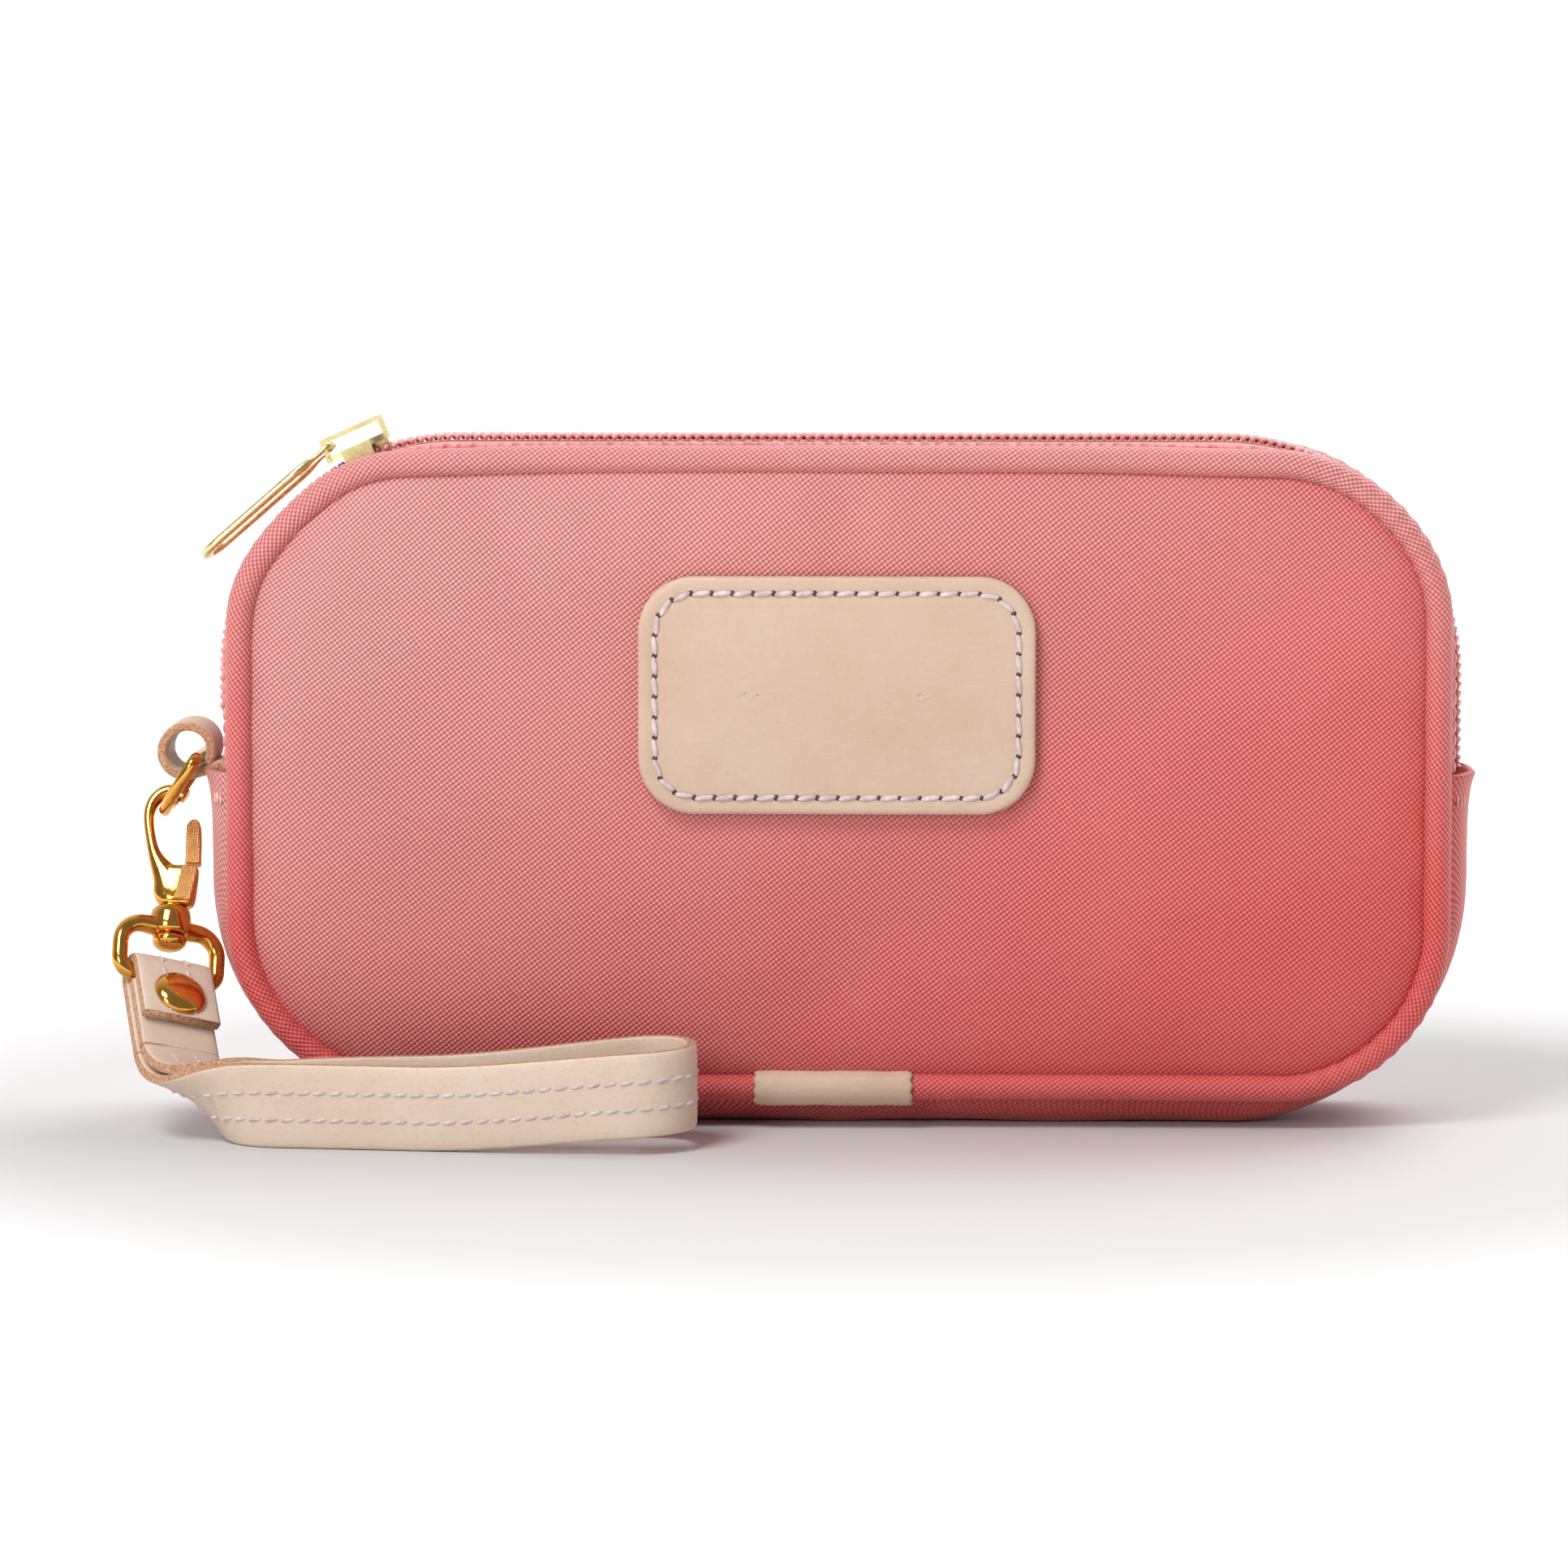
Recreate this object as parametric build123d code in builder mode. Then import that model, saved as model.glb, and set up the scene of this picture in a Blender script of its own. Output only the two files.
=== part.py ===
from build123d import *
import os
from math import cos, radians, sin, sqrt

# Wristlet wallet: a zipped pouch of coated canvas with piped edges, a leather
# name patch, and a leather wrist strap on a snap hook.
# Millimetres. The origin is the centre of the flat underside, +X runs to the
# right along the pouch, the front panel faces -Y and +Z is up.

os.makedirs("parts", exist_ok=True)

# ---------------------------------------------------------------- sizes: pouch
BAG_W = 204.0  # over the gusset
BAG_H = 112.5  # floor to the top of the gusset
GUSSET_R = 40.0  # corner radius of the gusset's outer line
PIPE_W = 192.6  # piping centre line, width
PIPE_LOW = 6.8  # piping centre line, lowest height
PIPE_TOP = 107.6  # piping centre line, highest height
PIPE_R = 26.0  # piping centre line, corner radius
PIPE_Y = 16.5  # piping centre line, distance from the middle plane
PIPE_D = 4.5  # piping over its cover
CORD_D = 3.0  # cord inside the piping
SEAM_Y = 14.2  # where the gusset meets the piping
FLAT_Y = 5.0  # half width of the gusset's level middle
BASE_DROP = 0.6  # how far the underside is pressed flat
PLY = 1.2  # coated canvas, one ply
PANEL_PLY = 0.9
LINING_PLY = 0.4
LINING_GAP = 0.3
FIT_GAP = 0.1  # between sewn pieces that only touch
ZIP_END_Z = 57.0  # folded edge of the bottom gusset
TAPE_END_Z = 50.0  # zip tape's tucked-in end
LINING_END_Z = 46.0
PANEL_RISE = 4.6  # how far a panel domes out from its seam
PLATEAU = 20.0  # inset at which the dome is level

# ------------------------------------------------------------------ sizes: zip
TAPE_INSET = 2.2  # the zip lies this much lower than the gusset's fold
COIL_LOW = 0.1  # coil above the tape
COIL_H = 1.4
COIL_IN = 0.55  # gap half width between the two coils
COIL_OUT = 2.9
TAPE_IN = 0.7
SLIDER_L = 11.0
SLIDER_W = 8.4
SLIDER_END_R = 3.0
SLIDER_ANGLE = 24.0  # degrees left of the top, round the corner's centre
PULL_L = 28.0
PULL_W = 8.0
PULL_T = 1.1
PULL_SLOT_W = 3.9
PULL_DIP = 41.0  # degrees below level
PULL_TWIST = 8.0
PULL_BAR_R = 0.6

# ---------------------------------------------------------------- sizes: patch
PATCH_W = 63.5
PATCH_H = 38.1
PATCH_R = 9.0
PATCH_T = 2.2
PATCH_Z = 70.6
WRAP_L = 25.4
WRAP_T = 0.8
WRAP_X = -0.6

# ------------------------------------------------------- sizes: ring and clasp
STRAP_W = 13.5
STRAP_T = 2.0
TAB_X = -106.2
TAB_Z = 60.0
TAB_R = 5.0
TAB_T = 1.8
TAB_W = 12.6
RING_WIRE = 2.0
RING_X = -104.4
RING_Z = 58.9
RING_HALF = 9.0  # half width of the ring's centre line
RING_L = 11.0  # bar to the far end of the bow, centre lines
RING_LEAN = 33.0  # degrees outward from straight down
HOOK_X = -108.6
HOOK_Y = 1.4
HOOK_Z = 52.9
HOOK_LEAN = 28.0  # degrees the lower end stands forward
HOOK_T = 2.4
STEM_R = 1.3
EYE_TURN = 30.0  # degrees the eye is turned round the stem
EYE_WIRE = 2.6
EYE_W = 17.0
EYE_TOP = -24.4  # along the stem, eye's centre line
EYE_LOW = -33.2
EYE_CORNER = 2.2
EYE_SHOULDER = 3.8
BOSS_R = 3.3
BOSS_TOP = -21.0
BOSS_LOW = -25.75
PIN_R = 0.7
GATE_PIN = (2.9, -16.5)

# ---------------------------------------------------------------- sizes: strap
FLAP_L = 11.2
RIVET_DOWN = 6.4  # rivet centre below the eye's bar
RIVET_CAP_D = 8.8
LOOP_LEFT_X = -86.0
LOOP_RIGHT_X = -31.0
LOOP_Y = -37.5
LOOP_NARROW = 2.0  # centre of the loop to a layer, at the left
LOOP_WIDE = 8.5  # the same at the fold

# ------------------------------------------------------------- helper geometry
CORNER_X = BAG_W / 2 - GUSSET_R
CORNER_Z = BAG_H - GUSSET_R


def bulge(y):
    """How far out the gusset stands at distance y from the middle, 0 to 1."""
    past_flat = max(abs(y) - FLAT_Y, 0.0) / (SEAM_Y - FLAT_Y)
    return sqrt(max(1.0 - past_flat**2, 0.0))


def outline(y, half_width, low, high, radius):
    """A rounded rectangle across the pouch, standing in the plane at y."""
    with BuildSketch(Plane.XZ.offset(-y)) as shape:
        with Locations((0, (low + high) / 2)):
            RectangleRounded(2 * half_width, high - low, radius)
    return shape.sketch


def band_outline(y, inset):
    """The gusset's line at y, moved inwards by inset."""
    out = bulge(y)
    seam_half = PIPE_W / 2 - 0.2
    half_width = seam_half + out * (BAG_W / 2 - seam_half) - inset
    seam_low = PIPE_LOW + 0.2
    low = max(seam_low - out * (seam_low + BASE_DROP), 0.0) + inset
    seam_high = PIPE_TOP - 0.2
    high = seam_high + out * (BAG_H - seam_high) - inset
    radius = PIPE_R + out * (GUSSET_R - PIPE_R) - inset
    return outline(y, half_width, low, high, radius)


def band(outer_inset, inner_inset, half_depth=SEAM_Y):
    """The closed ring of cloth between the two pipings."""
    fractions = (1.0, 0.87, 0.74, 0.6, FLAT_Y / SEAM_Y)
    side = [half_depth * part for part in fractions]
    stations = [-y for y in side] + side[::-1]
    with BuildPart() as ring:
        loft([band_outline(y, outer_inset) for y in stations], ruled=True)
        loft([band_outline(y, inner_inset) for y in stations], ruled=True, mode=Mode.SUBTRACT)
    return ring.part


def dish_outline(y, inset):
    """A panel's line, inset from the piping's centre line."""
    half_width = PIPE_W / 2 - inset
    return outline(y, half_width, PIPE_LOW + inset, PIPE_TOP - inset, PIPE_R - inset)


def dish(edge_inset, seam_y, rise, thickness):
    """A domed panel facing -Y: its outer dome less the same dome moved back."""
    rim = edge_inset / PLATEAU
    steps = (rim, rim + 0.13, rim + 0.33, rim + 0.58, 1.0)
    insets = [PLATEAU * step for step in steps]
    depths = [rise * sqrt(1.0 - ((1.0 - step) / (1.0 - rim)) ** 2) for step in steps]
    places = [(-seam_y - depth, inset) for depth, inset in zip(depths, insets)]
    with BuildPart() as shell:
        loft([dish_outline(y, inset) for y, inset in places], ruled=True)
        loft(
            [dish_outline(y + thickness, inset) for y, inset in places],
            ruled=True,
            mode=Mode.SUBTRACT,
        )
    return shell.part


def rim_tube(outer_d, y):
    """A round cord that follows the piping's closed line in the plane at y."""
    with BuildPart() as tube:
        with BuildLine(Plane.XZ.offset(-y)) as line:
            corners = [
                (PIPE_W / 2, PIPE_LOW),
                (PIPE_W / 2, PIPE_TOP),
                (-PIPE_W / 2, PIPE_TOP),
                (-PIPE_W / 2, PIPE_LOW),
            ]
            FilletPolyline(*corners, radius=PIPE_R, close=True)
        with BuildSketch(Plane((0, y, PIPE_LOW), x_dir=(0, 1, 0), z_dir=(1, 0, 0))):
            Circle(outer_d / 2)
        sweep(path=line.wire())
    return tube.part


def save(piece, name):
    """Label a finished piece and write it."""
    piece.label = name
    export_step(piece, f"parts/{name}.step")


# --------------------------------------------------------------- pouch: panels
with BuildPart() as front_panel:
    add(dish(PIPE_D / 2 + FIT_GAP, PIPE_Y, PANEL_RISE, PANEL_PLY))
save(front_panel.part, "front_panel")

with BuildPart() as back_panel:
    mirror(front_panel.part, about=Plane.XZ)
save(back_panel.part, "back_panel")

# ------------------------------------------------ pouch: bottom gusset and zip
with BuildPart() as bottom_gusset:
    add(band(0.0, PLY))
    with Locations((0, 0, ZIP_END_Z - BAG_H)):
        Box(2 * BAG_W, BAG_W, 2 * BAG_H, mode=Mode.INTERSECT)
save(bottom_gusset.part, "bottom_gusset")

TAIL_T = 1.6
TAIL_X = -BAG_W / 2 + PLY + 0.4  # outer face of the tab's sewn-in tail
TAIL_LOW = 47.0
NECK_LOW = ZIP_END_Z + 0.4
NECK_HIGH = NECK_LOW + 2.0
CLOTH_GAP = 0.2


def zip_strip(inner_y, outer_y, outer_inset, inner_inset, end_z, notch_high):
    """The part of the band above end_z, in front of the middle plane, cut
    back up to notch_high where the leather tab passes on the left."""
    with BuildPart() as strip:
        add(band(outer_inset, inner_inset))
        with Locations((0, -(inner_y + outer_y) / 2, end_z + BAG_H / 2)):
            Box(2 * BAG_W, outer_y - inner_y, BAG_H, mode=Mode.INTERSECT)
        with Locations((-BAG_W / 2, 0, (end_z + notch_high) / 2)):
            Box(20, TAB_W + 2 * CLOTH_GAP, notch_high - end_z, mode=Mode.SUBTRACT)
    return strip.part


with BuildPart() as zip_tape_front:
    add(zip_strip(TAPE_IN, SEAM_Y, TAPE_INSET, TAPE_INSET + PLY, TAPE_END_Z, NECK_HIGH + CLOTH_GAP))
save(zip_tape_front.part, "zip_tape_front")

with BuildPart() as zip_tape_back:
    mirror(zip_tape_front.part, about=Plane.XZ)
save(zip_tape_back.part, "zip_tape_back")

COIL_BASE = TAPE_INSET - COIL_LOW
COIL_END_Z = ZIP_END_Z + 0.3
COIL_CUT_Z = TAB_Z + TAB_R + 0.6
with BuildPart() as zip_coil_front:
    add(zip_strip(COIL_IN, COIL_OUT, COIL_BASE - COIL_H, COIL_BASE, COIL_END_Z, COIL_CUT_Z))
save(zip_coil_front.part, "zip_coil_front")

with BuildPart() as zip_coil_back:
    mirror(zip_coil_front.part, about=Plane.XZ)
save(zip_coil_back.part, "zip_coil_back")

# --------------------------------------------------------------- pouch: piping
with BuildPart() as front_piping_cord:
    add(rim_tube(CORD_D, -PIPE_Y))
save(front_piping_cord.part, "front_piping_cord")

with BuildPart() as front_piping_cover:
    add(rim_tube(PIPE_D, -PIPE_Y))
    add(rim_tube(CORD_D + 0.04, -PIPE_Y), mode=Mode.SUBTRACT)
save(front_piping_cover.part, "front_piping_cover")

for source, name in ((front_piping_cord, "back_piping_cord"), (front_piping_cover, "back_piping_cover")):
    with BuildPart() as back_piping:
        mirror(source.part, about=Plane.XZ)
    save(back_piping.part, name)

# The leather wrap covers the piping's join, open towards the seam.
WRAP_OPEN = 4.6
with BuildPart() as piping_wrap:
    with BuildSketch(Plane((WRAP_X, -PIPE_Y, PIPE_LOW), x_dir=(0, 1, 0), z_dir=(1, 0, 0))):
        Circle(PIPE_D / 2 + WRAP_T + 0.02)
        Circle(PIPE_D / 2 + 0.02, mode=Mode.SUBTRACT)
        with Locations(Location((0.4, 0.4), 45)):
            Rectangle(WRAP_OPEN, 12, align=(Align.MIN, Align.CENTER), mode=Mode.SUBTRACT)
    extrude(amount=WRAP_L / 2, both=True)
save(piping_wrap.part, "piping_wrap")

with BuildPart() as back_piping_wrap:
    mirror(piping_wrap.part, about=Plane.XZ)
save(back_piping_wrap.part, "back_piping_wrap")

# ------------------------------------------- pouch: bound seams and the lining
BIND_IN = 2.45
BIND_OUT = 5.5
BIND_LOW_Y = SEAM_Y + FIT_GAP
BIND_HIGH_Y = 15.8
BIND_DEPTH = BIND_HIGH_Y - BIND_LOW_Y
with BuildPart() as front_seam_binding:
    extrude(dish_outline(-BIND_HIGH_Y, BIND_IN), amount=BIND_DEPTH, dir=(0, 1, 0))
    extrude(
        dish_outline(-BIND_HIGH_Y, BIND_OUT),
        amount=BIND_DEPTH,
        dir=(0, 1, 0),
        mode=Mode.SUBTRACT,
    )
save(front_seam_binding.part, "front_seam_binding")

with BuildPart() as back_seam_binding:
    mirror(front_seam_binding.part, about=Plane.XZ)
save(back_seam_binding.part, "back_seam_binding")

LINING_EDGE = BIND_OUT + FIT_GAP
LINING_SEAM_Y = PIPE_Y - PANEL_PLY - LINING_GAP
with BuildPart() as lining_front:
    add(dish(LINING_EDGE, LINING_SEAM_Y, PANEL_RISE - 0.4, LINING_PLY))
save(lining_front.part, "lining_front")

with BuildPart() as lining_back:
    mirror(lining_front.part, about=Plane.XZ)
save(lining_back.part, "lining_back")

LINING_INSET = PLY + LINING_GAP
with BuildPart() as lining_gusset:
    add(band(LINING_INSET, LINING_INSET + LINING_PLY))
    with Locations((0, 0, LINING_END_Z - BAG_H)):
        Box(2 * BAG_W, 2 * (SEAM_Y - 0.8), 2 * BAG_H, mode=Mode.INTERSECT)
save(lining_gusset.part, "lining_gusset")

# A slip pocket for cards, sewn to the back lining.
POCKET_W = 104.0
POCKET_H = 56.0
POCKET_Z = 57.2
POCKET_T = 0.5
POCKET_Y = LINING_SEAM_Y + PANEL_RISE - 0.4 - LINING_PLY - FIT_GAP
with BuildPart() as card_pocket:
    with BuildSketch(Plane.XZ.offset(-POCKET_Y)):
        with Locations((0, POCKET_Z)):
            RectangleRounded(POCKET_W, POCKET_H, 4)
    extrude(amount=POCKET_T)
save(card_pocket.part, "card_pocket")

# ----------------------------------------------------------------- name patch
PATCH_BACK_Y = -(PIPE_Y + PANEL_RISE + 0.05)
with BuildPart() as name_patch:
    with BuildSketch(Plane.XZ.offset(-PATCH_BACK_Y)):
        with Locations((0, PATCH_Z)):
            RectangleRounded(PATCH_W, PATCH_H, PATCH_R)
    extrude(amount=PATCH_T)
    fillet(name_patch.edges().group_by(Axis.Y)[0], 0.6)
save(name_patch.part, "name_patch")

# ----------------------------------------------------------------- zip slider
# The slider's own plane: its middle is on the corner's centre, x runs along
# the zip to the right, y points out from the pouch and z points to the front.
slider_out = (-sin(radians(SLIDER_ANGLE)), 0, cos(radians(SLIDER_ANGLE)))
slider_along = (cos(radians(SLIDER_ANGLE)), 0, sin(radians(SLIDER_ANGLE)))
SLIDER_PLANE = Plane((-CORNER_X, 0, CORNER_Z), x_dir=slider_along, z_dir=(0, -1, 0))
ZIP_PLANE = Plane((-CORNER_X, 0, CORNER_Z), x_dir=slider_along, z_dir=slider_out)

CAP_LOW = 39.7  # all four are distances from the corner's centre
CAP_HIGH = 40.7
KEEL_LOW = 34.9
KEEL_HIGH = 35.9
FLANGE_LOW = 38.2
FLANGE_T = 0.9
FLANGE_SHORT = 6.0  # flanges are shorter than the plates by this
POST_X = 3.8
POST_L = 2.4
POST_T = 0.8
with BuildPart() as slider_body:
    with BuildSketch(ZIP_PLANE.offset(CAP_LOW)):
        RectangleRounded(SLIDER_L, SLIDER_W, SLIDER_END_R)
    extrude(amount=CAP_HIGH - CAP_LOW)
    with BuildSketch(ZIP_PLANE.offset(FLANGE_LOW)):
        with GridLocations(0, SLIDER_W - FLANGE_T, 1, 2):
            Rectangle(SLIDER_L - FLANGE_SHORT, FLANGE_T)
    extrude(amount=CAP_LOW - FLANGE_LOW)
    with BuildSketch(ZIP_PLANE.offset(KEEL_LOW)):
        RectangleRounded(SLIDER_L, SLIDER_W, SLIDER_END_R)
    extrude(amount=KEEL_HIGH - KEEL_LOW)
    with BuildSketch(ZIP_PLANE.offset(KEEL_HIGH)):
        with Locations((POST_X, 0)):
            Rectangle(POST_L, POST_T)
    extrude(amount=CAP_LOW - KEEL_HIGH)
save(slider_body.part, "slider_body")

BRIDGE_L = 11.0
BRIDGE_T = 2.4
BRIDGE_HIGH = 43.7
BRIDGE_WALL = 0.8
PULL_BAR_X = -3.9
PULL_BAR_OUT = 42.2
with BuildPart() as slider_bridge:
    with BuildSketch(SLIDER_PLANE):
        with Locations((0, CAP_HIGH)):
            Rectangle(BRIDGE_L, BRIDGE_HIGH - CAP_HIGH, align=(Align.CENTER, Align.MIN))
        with Locations((0, CAP_HIGH)):
            Rectangle(
                BRIDGE_L - 2 * BRIDGE_WALL,
                BRIDGE_HIGH - BRIDGE_WALL - CAP_HIGH,
                align=(Align.CENTER, Align.MIN),
                mode=Mode.SUBTRACT,
            )
    extrude(amount=BRIDGE_T / 2, both=True)
    fillet(slider_bridge.edges().filter_by(Axis.Y).group_by(SortBy.LENGTH)[-1][-2:], 0.4)
save(slider_bridge.part, "slider_bridge")

# The pull: an oval loop whose cross bar lies under the bridge.
bar_x = -CORNER_X + slider_along[0] * PULL_BAR_X + slider_out[0] * PULL_BAR_OUT
bar_z = CORNER_Z + slider_along[2] * PULL_BAR_X + slider_out[2] * PULL_BAR_OUT
dip = radians(PULL_DIP)
twist = radians(PULL_TWIST)
pull_down = Vector(-cos(dip), 0, -sin(dip))
pull_flat = Vector(0, cos(twist), 0) + Vector(sin(dip), 0, -cos(dip)) * sin(twist)
PULL_PLANE = Plane((bar_x, 0, bar_z), x_dir=pull_down, z_dir=pull_down.cross(pull_flat))
NECK_L = 6.0
NECK_HOLE_LOW = -1.6
NECK_HOLE_HIGH = 9.0
NECK_HOLE_W = 3.4
NECK_LAP = 1.2
PULL_SLOT_LOW = 11.5
PULL_RIM = 1.7
BAR_HALF = 2.5
with BuildPart() as pull_tab:
    with BuildSketch(PULL_PLANE.offset(-PULL_T / 2)):
        with Locations(((NECK_L + PULL_L) / 2, 0)):
            SlotOverall(PULL_L - NECK_L, PULL_W)
        with Locations((NECK_L / 2 + NECK_LAP, 0)):
            Rectangle(NECK_L + 2 * NECK_LAP, 2 * BAR_HALF)
        with Locations(((PULL_SLOT_LOW + PULL_L - PULL_RIM) / 2, 0)):
            SlotOverall(PULL_L - PULL_RIM - PULL_SLOT_LOW, PULL_SLOT_W, mode=Mode.SUBTRACT)
        with Locations(((NECK_HOLE_LOW + NECK_HOLE_HIGH) / 2, 0)):
            Rectangle(NECK_HOLE_HIGH - NECK_HOLE_LOW, NECK_HOLE_W, mode=Mode.SUBTRACT)
    extrude(amount=PULL_T)
    with BuildSketch(Plane((bar_x, -BAR_HALF, bar_z), x_dir=(1, 0, 0), z_dir=(0, 1, 0))):
        Circle(PULL_BAR_R)
    extrude(amount=2 * BAR_HALF)
save(pull_tab.part, "pull_tab")

# ------------------------------------------------------- leather tab and ring
with BuildPart() as ring_tab:
    with BuildSketch(Plane.XZ):
        with Locations((TAB_X, TAB_Z)):
            Circle(TAB_R)
        with BuildLine():
            Polyline(
                (TAB_X, NECK_LOW),
                (TAIL_X + TAIL_T, NECK_LOW),
                (TAIL_X + TAIL_T, NECK_HIGH),
                (TAB_X, NECK_HIGH),
                close=True,
            )
        make_face()
        with Locations((TAIL_X + TAIL_T / 2, TAIL_LOW)):
            Rectangle(TAIL_T, NECK_HIGH - TAIL_LOW, align=(Align.CENTER, Align.MIN))
        with Locations((TAB_X, TAB_Z)):
            Circle(TAB_R - TAB_T, mode=Mode.SUBTRACT)
    extrude(amount=TAB_W / 2, both=True)
save(ring_tab.part, "ring_tab")

lean = radians(RING_LEAN)
RING_PLANE = Plane(
    (RING_X, 0, RING_Z),
    x_dir=(-sin(lean), 0, -cos(lean)),
    z_dir=Vector(-sin(lean), 0, -cos(lean)).cross(Vector(0, 1, 0)),
)
with BuildPart() as d_ring:
    with BuildLine(RING_PLANE) as ring_line:
        leg = RING_L - RING_HALF
        Line((0, 0), (0, RING_HALF - 1.5))
        RadiusArc((0, RING_HALF - 1.5), (1.5, RING_HALF), 1.5)
        Line((1.5, RING_HALF), (leg, RING_HALF))
        CenterArc((leg, 0), RING_HALF, 90, -180)
        Line((leg, -RING_HALF), (1.5, -RING_HALF))
        RadiusArc((1.5, -RING_HALF), (0, -RING_HALF + 1.5), 1.5)
        Line((0, -RING_HALF + 1.5), (0, 0))
    with BuildSketch(Plane((RING_X, 0, RING_Z), x_dir=(1, 0, 0), z_dir=(0, 1, 0))):
        Circle(RING_WIRE / 2)
    sweep(path=ring_line.wire())
save(d_ring.part, "d_ring")

# ------------------------------------------------------------------ snap hook
# In the hook's plane x is to the right, y is up along the stem and z is
# towards the front. Its middle is where the claw turns over.
hook_lean = radians(HOOK_LEAN)
HOOK_PLANE = Plane(
    (HOOK_X, HOOK_Y, HOOK_Z),
    x_dir=(1, 0, 0),
    z_dir=(0, -cos(hook_lean), sin(hook_lean)),
)
STEM_PLANE = Plane(HOOK_PLANE.origin, x_dir=(1, 0, 0), z_dir=HOOK_PLANE.y_dir)
CLAW_TOP = (-0.7, -3.9)  # centres and radii of the claw's two rounds
CLAW_TOP_R = 4.8
CLAW_LOW_X = 0.2
CLAW_LOW_R = 3.4
JAW_TOP = (-1.1, -3.9)
JAW_TOP_R = 2.6
JAW_LOW = (-0.7, -11.2)
JAW_LOW_R = 2.2
GATE_IN = 1.8
GATE_OUT = 4.4
GATE_PLAY = 0.2  # above the gate, to the claw's nose
GATE_LIFT = 0.3  # below the gate, to the housing
GATE_TOP = -5.4
GATE_T = 2.2
GATE_EAR_R = 1.5
SLOT_T = 1.6  # the housing's slot for the gate's ear
CLAW_CUT_LOW = -14.0  # the gate's room, from here up to the nose
CLAW_CUT_X = 0.4
CLAW_CUT_W = 8.0
BODY_LOW = -20.8
HOUSING_T = 4.2
HOUSING_TOP = -13.8
HOUSING_X = 1.0
HOUSING_W = 6.6
HOUSING_CORNER = 1.2
EAR_PLAY = 0.35
SLOT_MIDDLE = (2.2, 1.2)  # the slot's open end, from the pin
SLOT_OPEN = (8.4, 4.4)
STEM_DEEP = 3.0  # how far the stem's hole goes in

with BuildPart() as hook_body:
    with BuildSketch(HOOK_PLANE.offset(-HOOK_T / 2)):
        with BuildSketch(mode=Mode.PRIVATE) as claw_round:
            with Locations(CLAW_TOP):
                Circle(CLAW_TOP_R)
            with Locations((CLAW_LOW_X, BODY_LOW + CLAW_LOW_R)):
                Circle(CLAW_LOW_R)
        add(make_hull(claw_round.sketch.edges()))
        with BuildSketch(mode=Mode.PRIVATE) as jaw_round:
            with Locations(JAW_TOP):
                Circle(JAW_TOP_R)
            with Locations(JAW_LOW):
                Circle(JAW_LOW_R)
        add(make_hull(jaw_round.sketch.edges()), mode=Mode.SUBTRACT)
        with Locations((CLAW_CUT_X, CLAW_CUT_LOW)):
            Rectangle(
                CLAW_CUT_W,
                GATE_TOP + GATE_PLAY - CLAW_CUT_LOW,
                align=(Align.MIN, Align.MIN),
                mode=Mode.SUBTRACT,
            )
    extrude(amount=HOOK_T)
    with BuildSketch(HOOK_PLANE.offset(-HOUSING_T / 2)):
        with Locations((HOUSING_X, (HOUSING_TOP + BODY_LOW) / 2)):
            RectangleRounded(HOUSING_W, HOUSING_TOP - BODY_LOW, HOUSING_CORNER)
    extrude(amount=HOUSING_T)
    with BuildSketch(HOOK_PLANE.offset(-SLOT_T / 2)):
        with Locations(GATE_PIN):
            Circle(GATE_EAR_R + EAR_PLAY)
            with Locations(SLOT_MIDDLE):
                Rectangle(*SLOT_OPEN)
    extrude(amount=SLOT_T, mode=Mode.SUBTRACT)
    with BuildSketch(HOOK_PLANE.offset(-HOUSING_T / 2)):
        with Locations(GATE_PIN):
            Circle(PIN_R)
    extrude(amount=HOUSING_T, mode=Mode.SUBTRACT)
    with BuildSketch(STEM_PLANE.offset(BODY_LOW)):
        Circle(STEM_R)
    extrude(amount=STEM_DEEP, mode=Mode.SUBTRACT)
save(hook_body.part, "hook_body")

with BuildPart() as gate_pin:
    with BuildSketch(HOOK_PLANE.offset(-HOUSING_T / 2)):
        with Locations(GATE_PIN):
            Circle(PIN_R - 0.02)
    extrude(amount=HOUSING_T)
save(gate_pin.part, "gate_pin")

EAR_T = SLOT_T - 0.3
with BuildPart() as gate:
    with BuildSketch(HOOK_PLANE.offset(-GATE_T / 2)):
        with BuildLine():
            Polyline(
                (GATE_IN, GATE_TOP - 0.35),
                (GATE_OUT - 0.9, GATE_TOP - 0.1),
                (GATE_OUT, GATE_TOP - 1.4),
                (GATE_OUT + 0.2, HOUSING_TOP + GATE_LIFT),
                (GATE_IN + 0.1, HOUSING_TOP + 2 * GATE_LIFT),
                close=True,
            )
        make_face()
    extrude(amount=GATE_T)
    with BuildSketch(HOOK_PLANE.offset(-EAR_T / 2)):
        with Locations(GATE_PIN):
            Circle(GATE_EAR_R)
        with BuildLine():
            Polyline(
                (GATE_PIN[0] - 1.0, GATE_PIN[1]),
                (GATE_PIN[0] + 1.4, GATE_PIN[1]),
                (GATE_OUT + 0.2, HOUSING_TOP + 1.0),
                (GATE_IN + 0.1, HOUSING_TOP + 1.0),
                close=True,
            )
        make_face()
        with Locations(GATE_PIN):
            Circle(PIN_R + 0.03, mode=Mode.SUBTRACT)
    extrude(amount=EAR_T)
save(gate.part, "gate")

SPRING_T = 0.25
SPRING_L = 3.0
with BuildPart() as gate_spring:
    with BuildSketch(HOOK_PLANE.offset(-EAR_T / 2)):
        with Locations((GATE_PIN[0] - 1.8, GATE_PIN[1] + 0.8)):
            Rectangle(SPRING_T, SPRING_L)
    extrude(amount=EAR_T)
save(gate_spring.part, "gate_spring")

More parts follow.
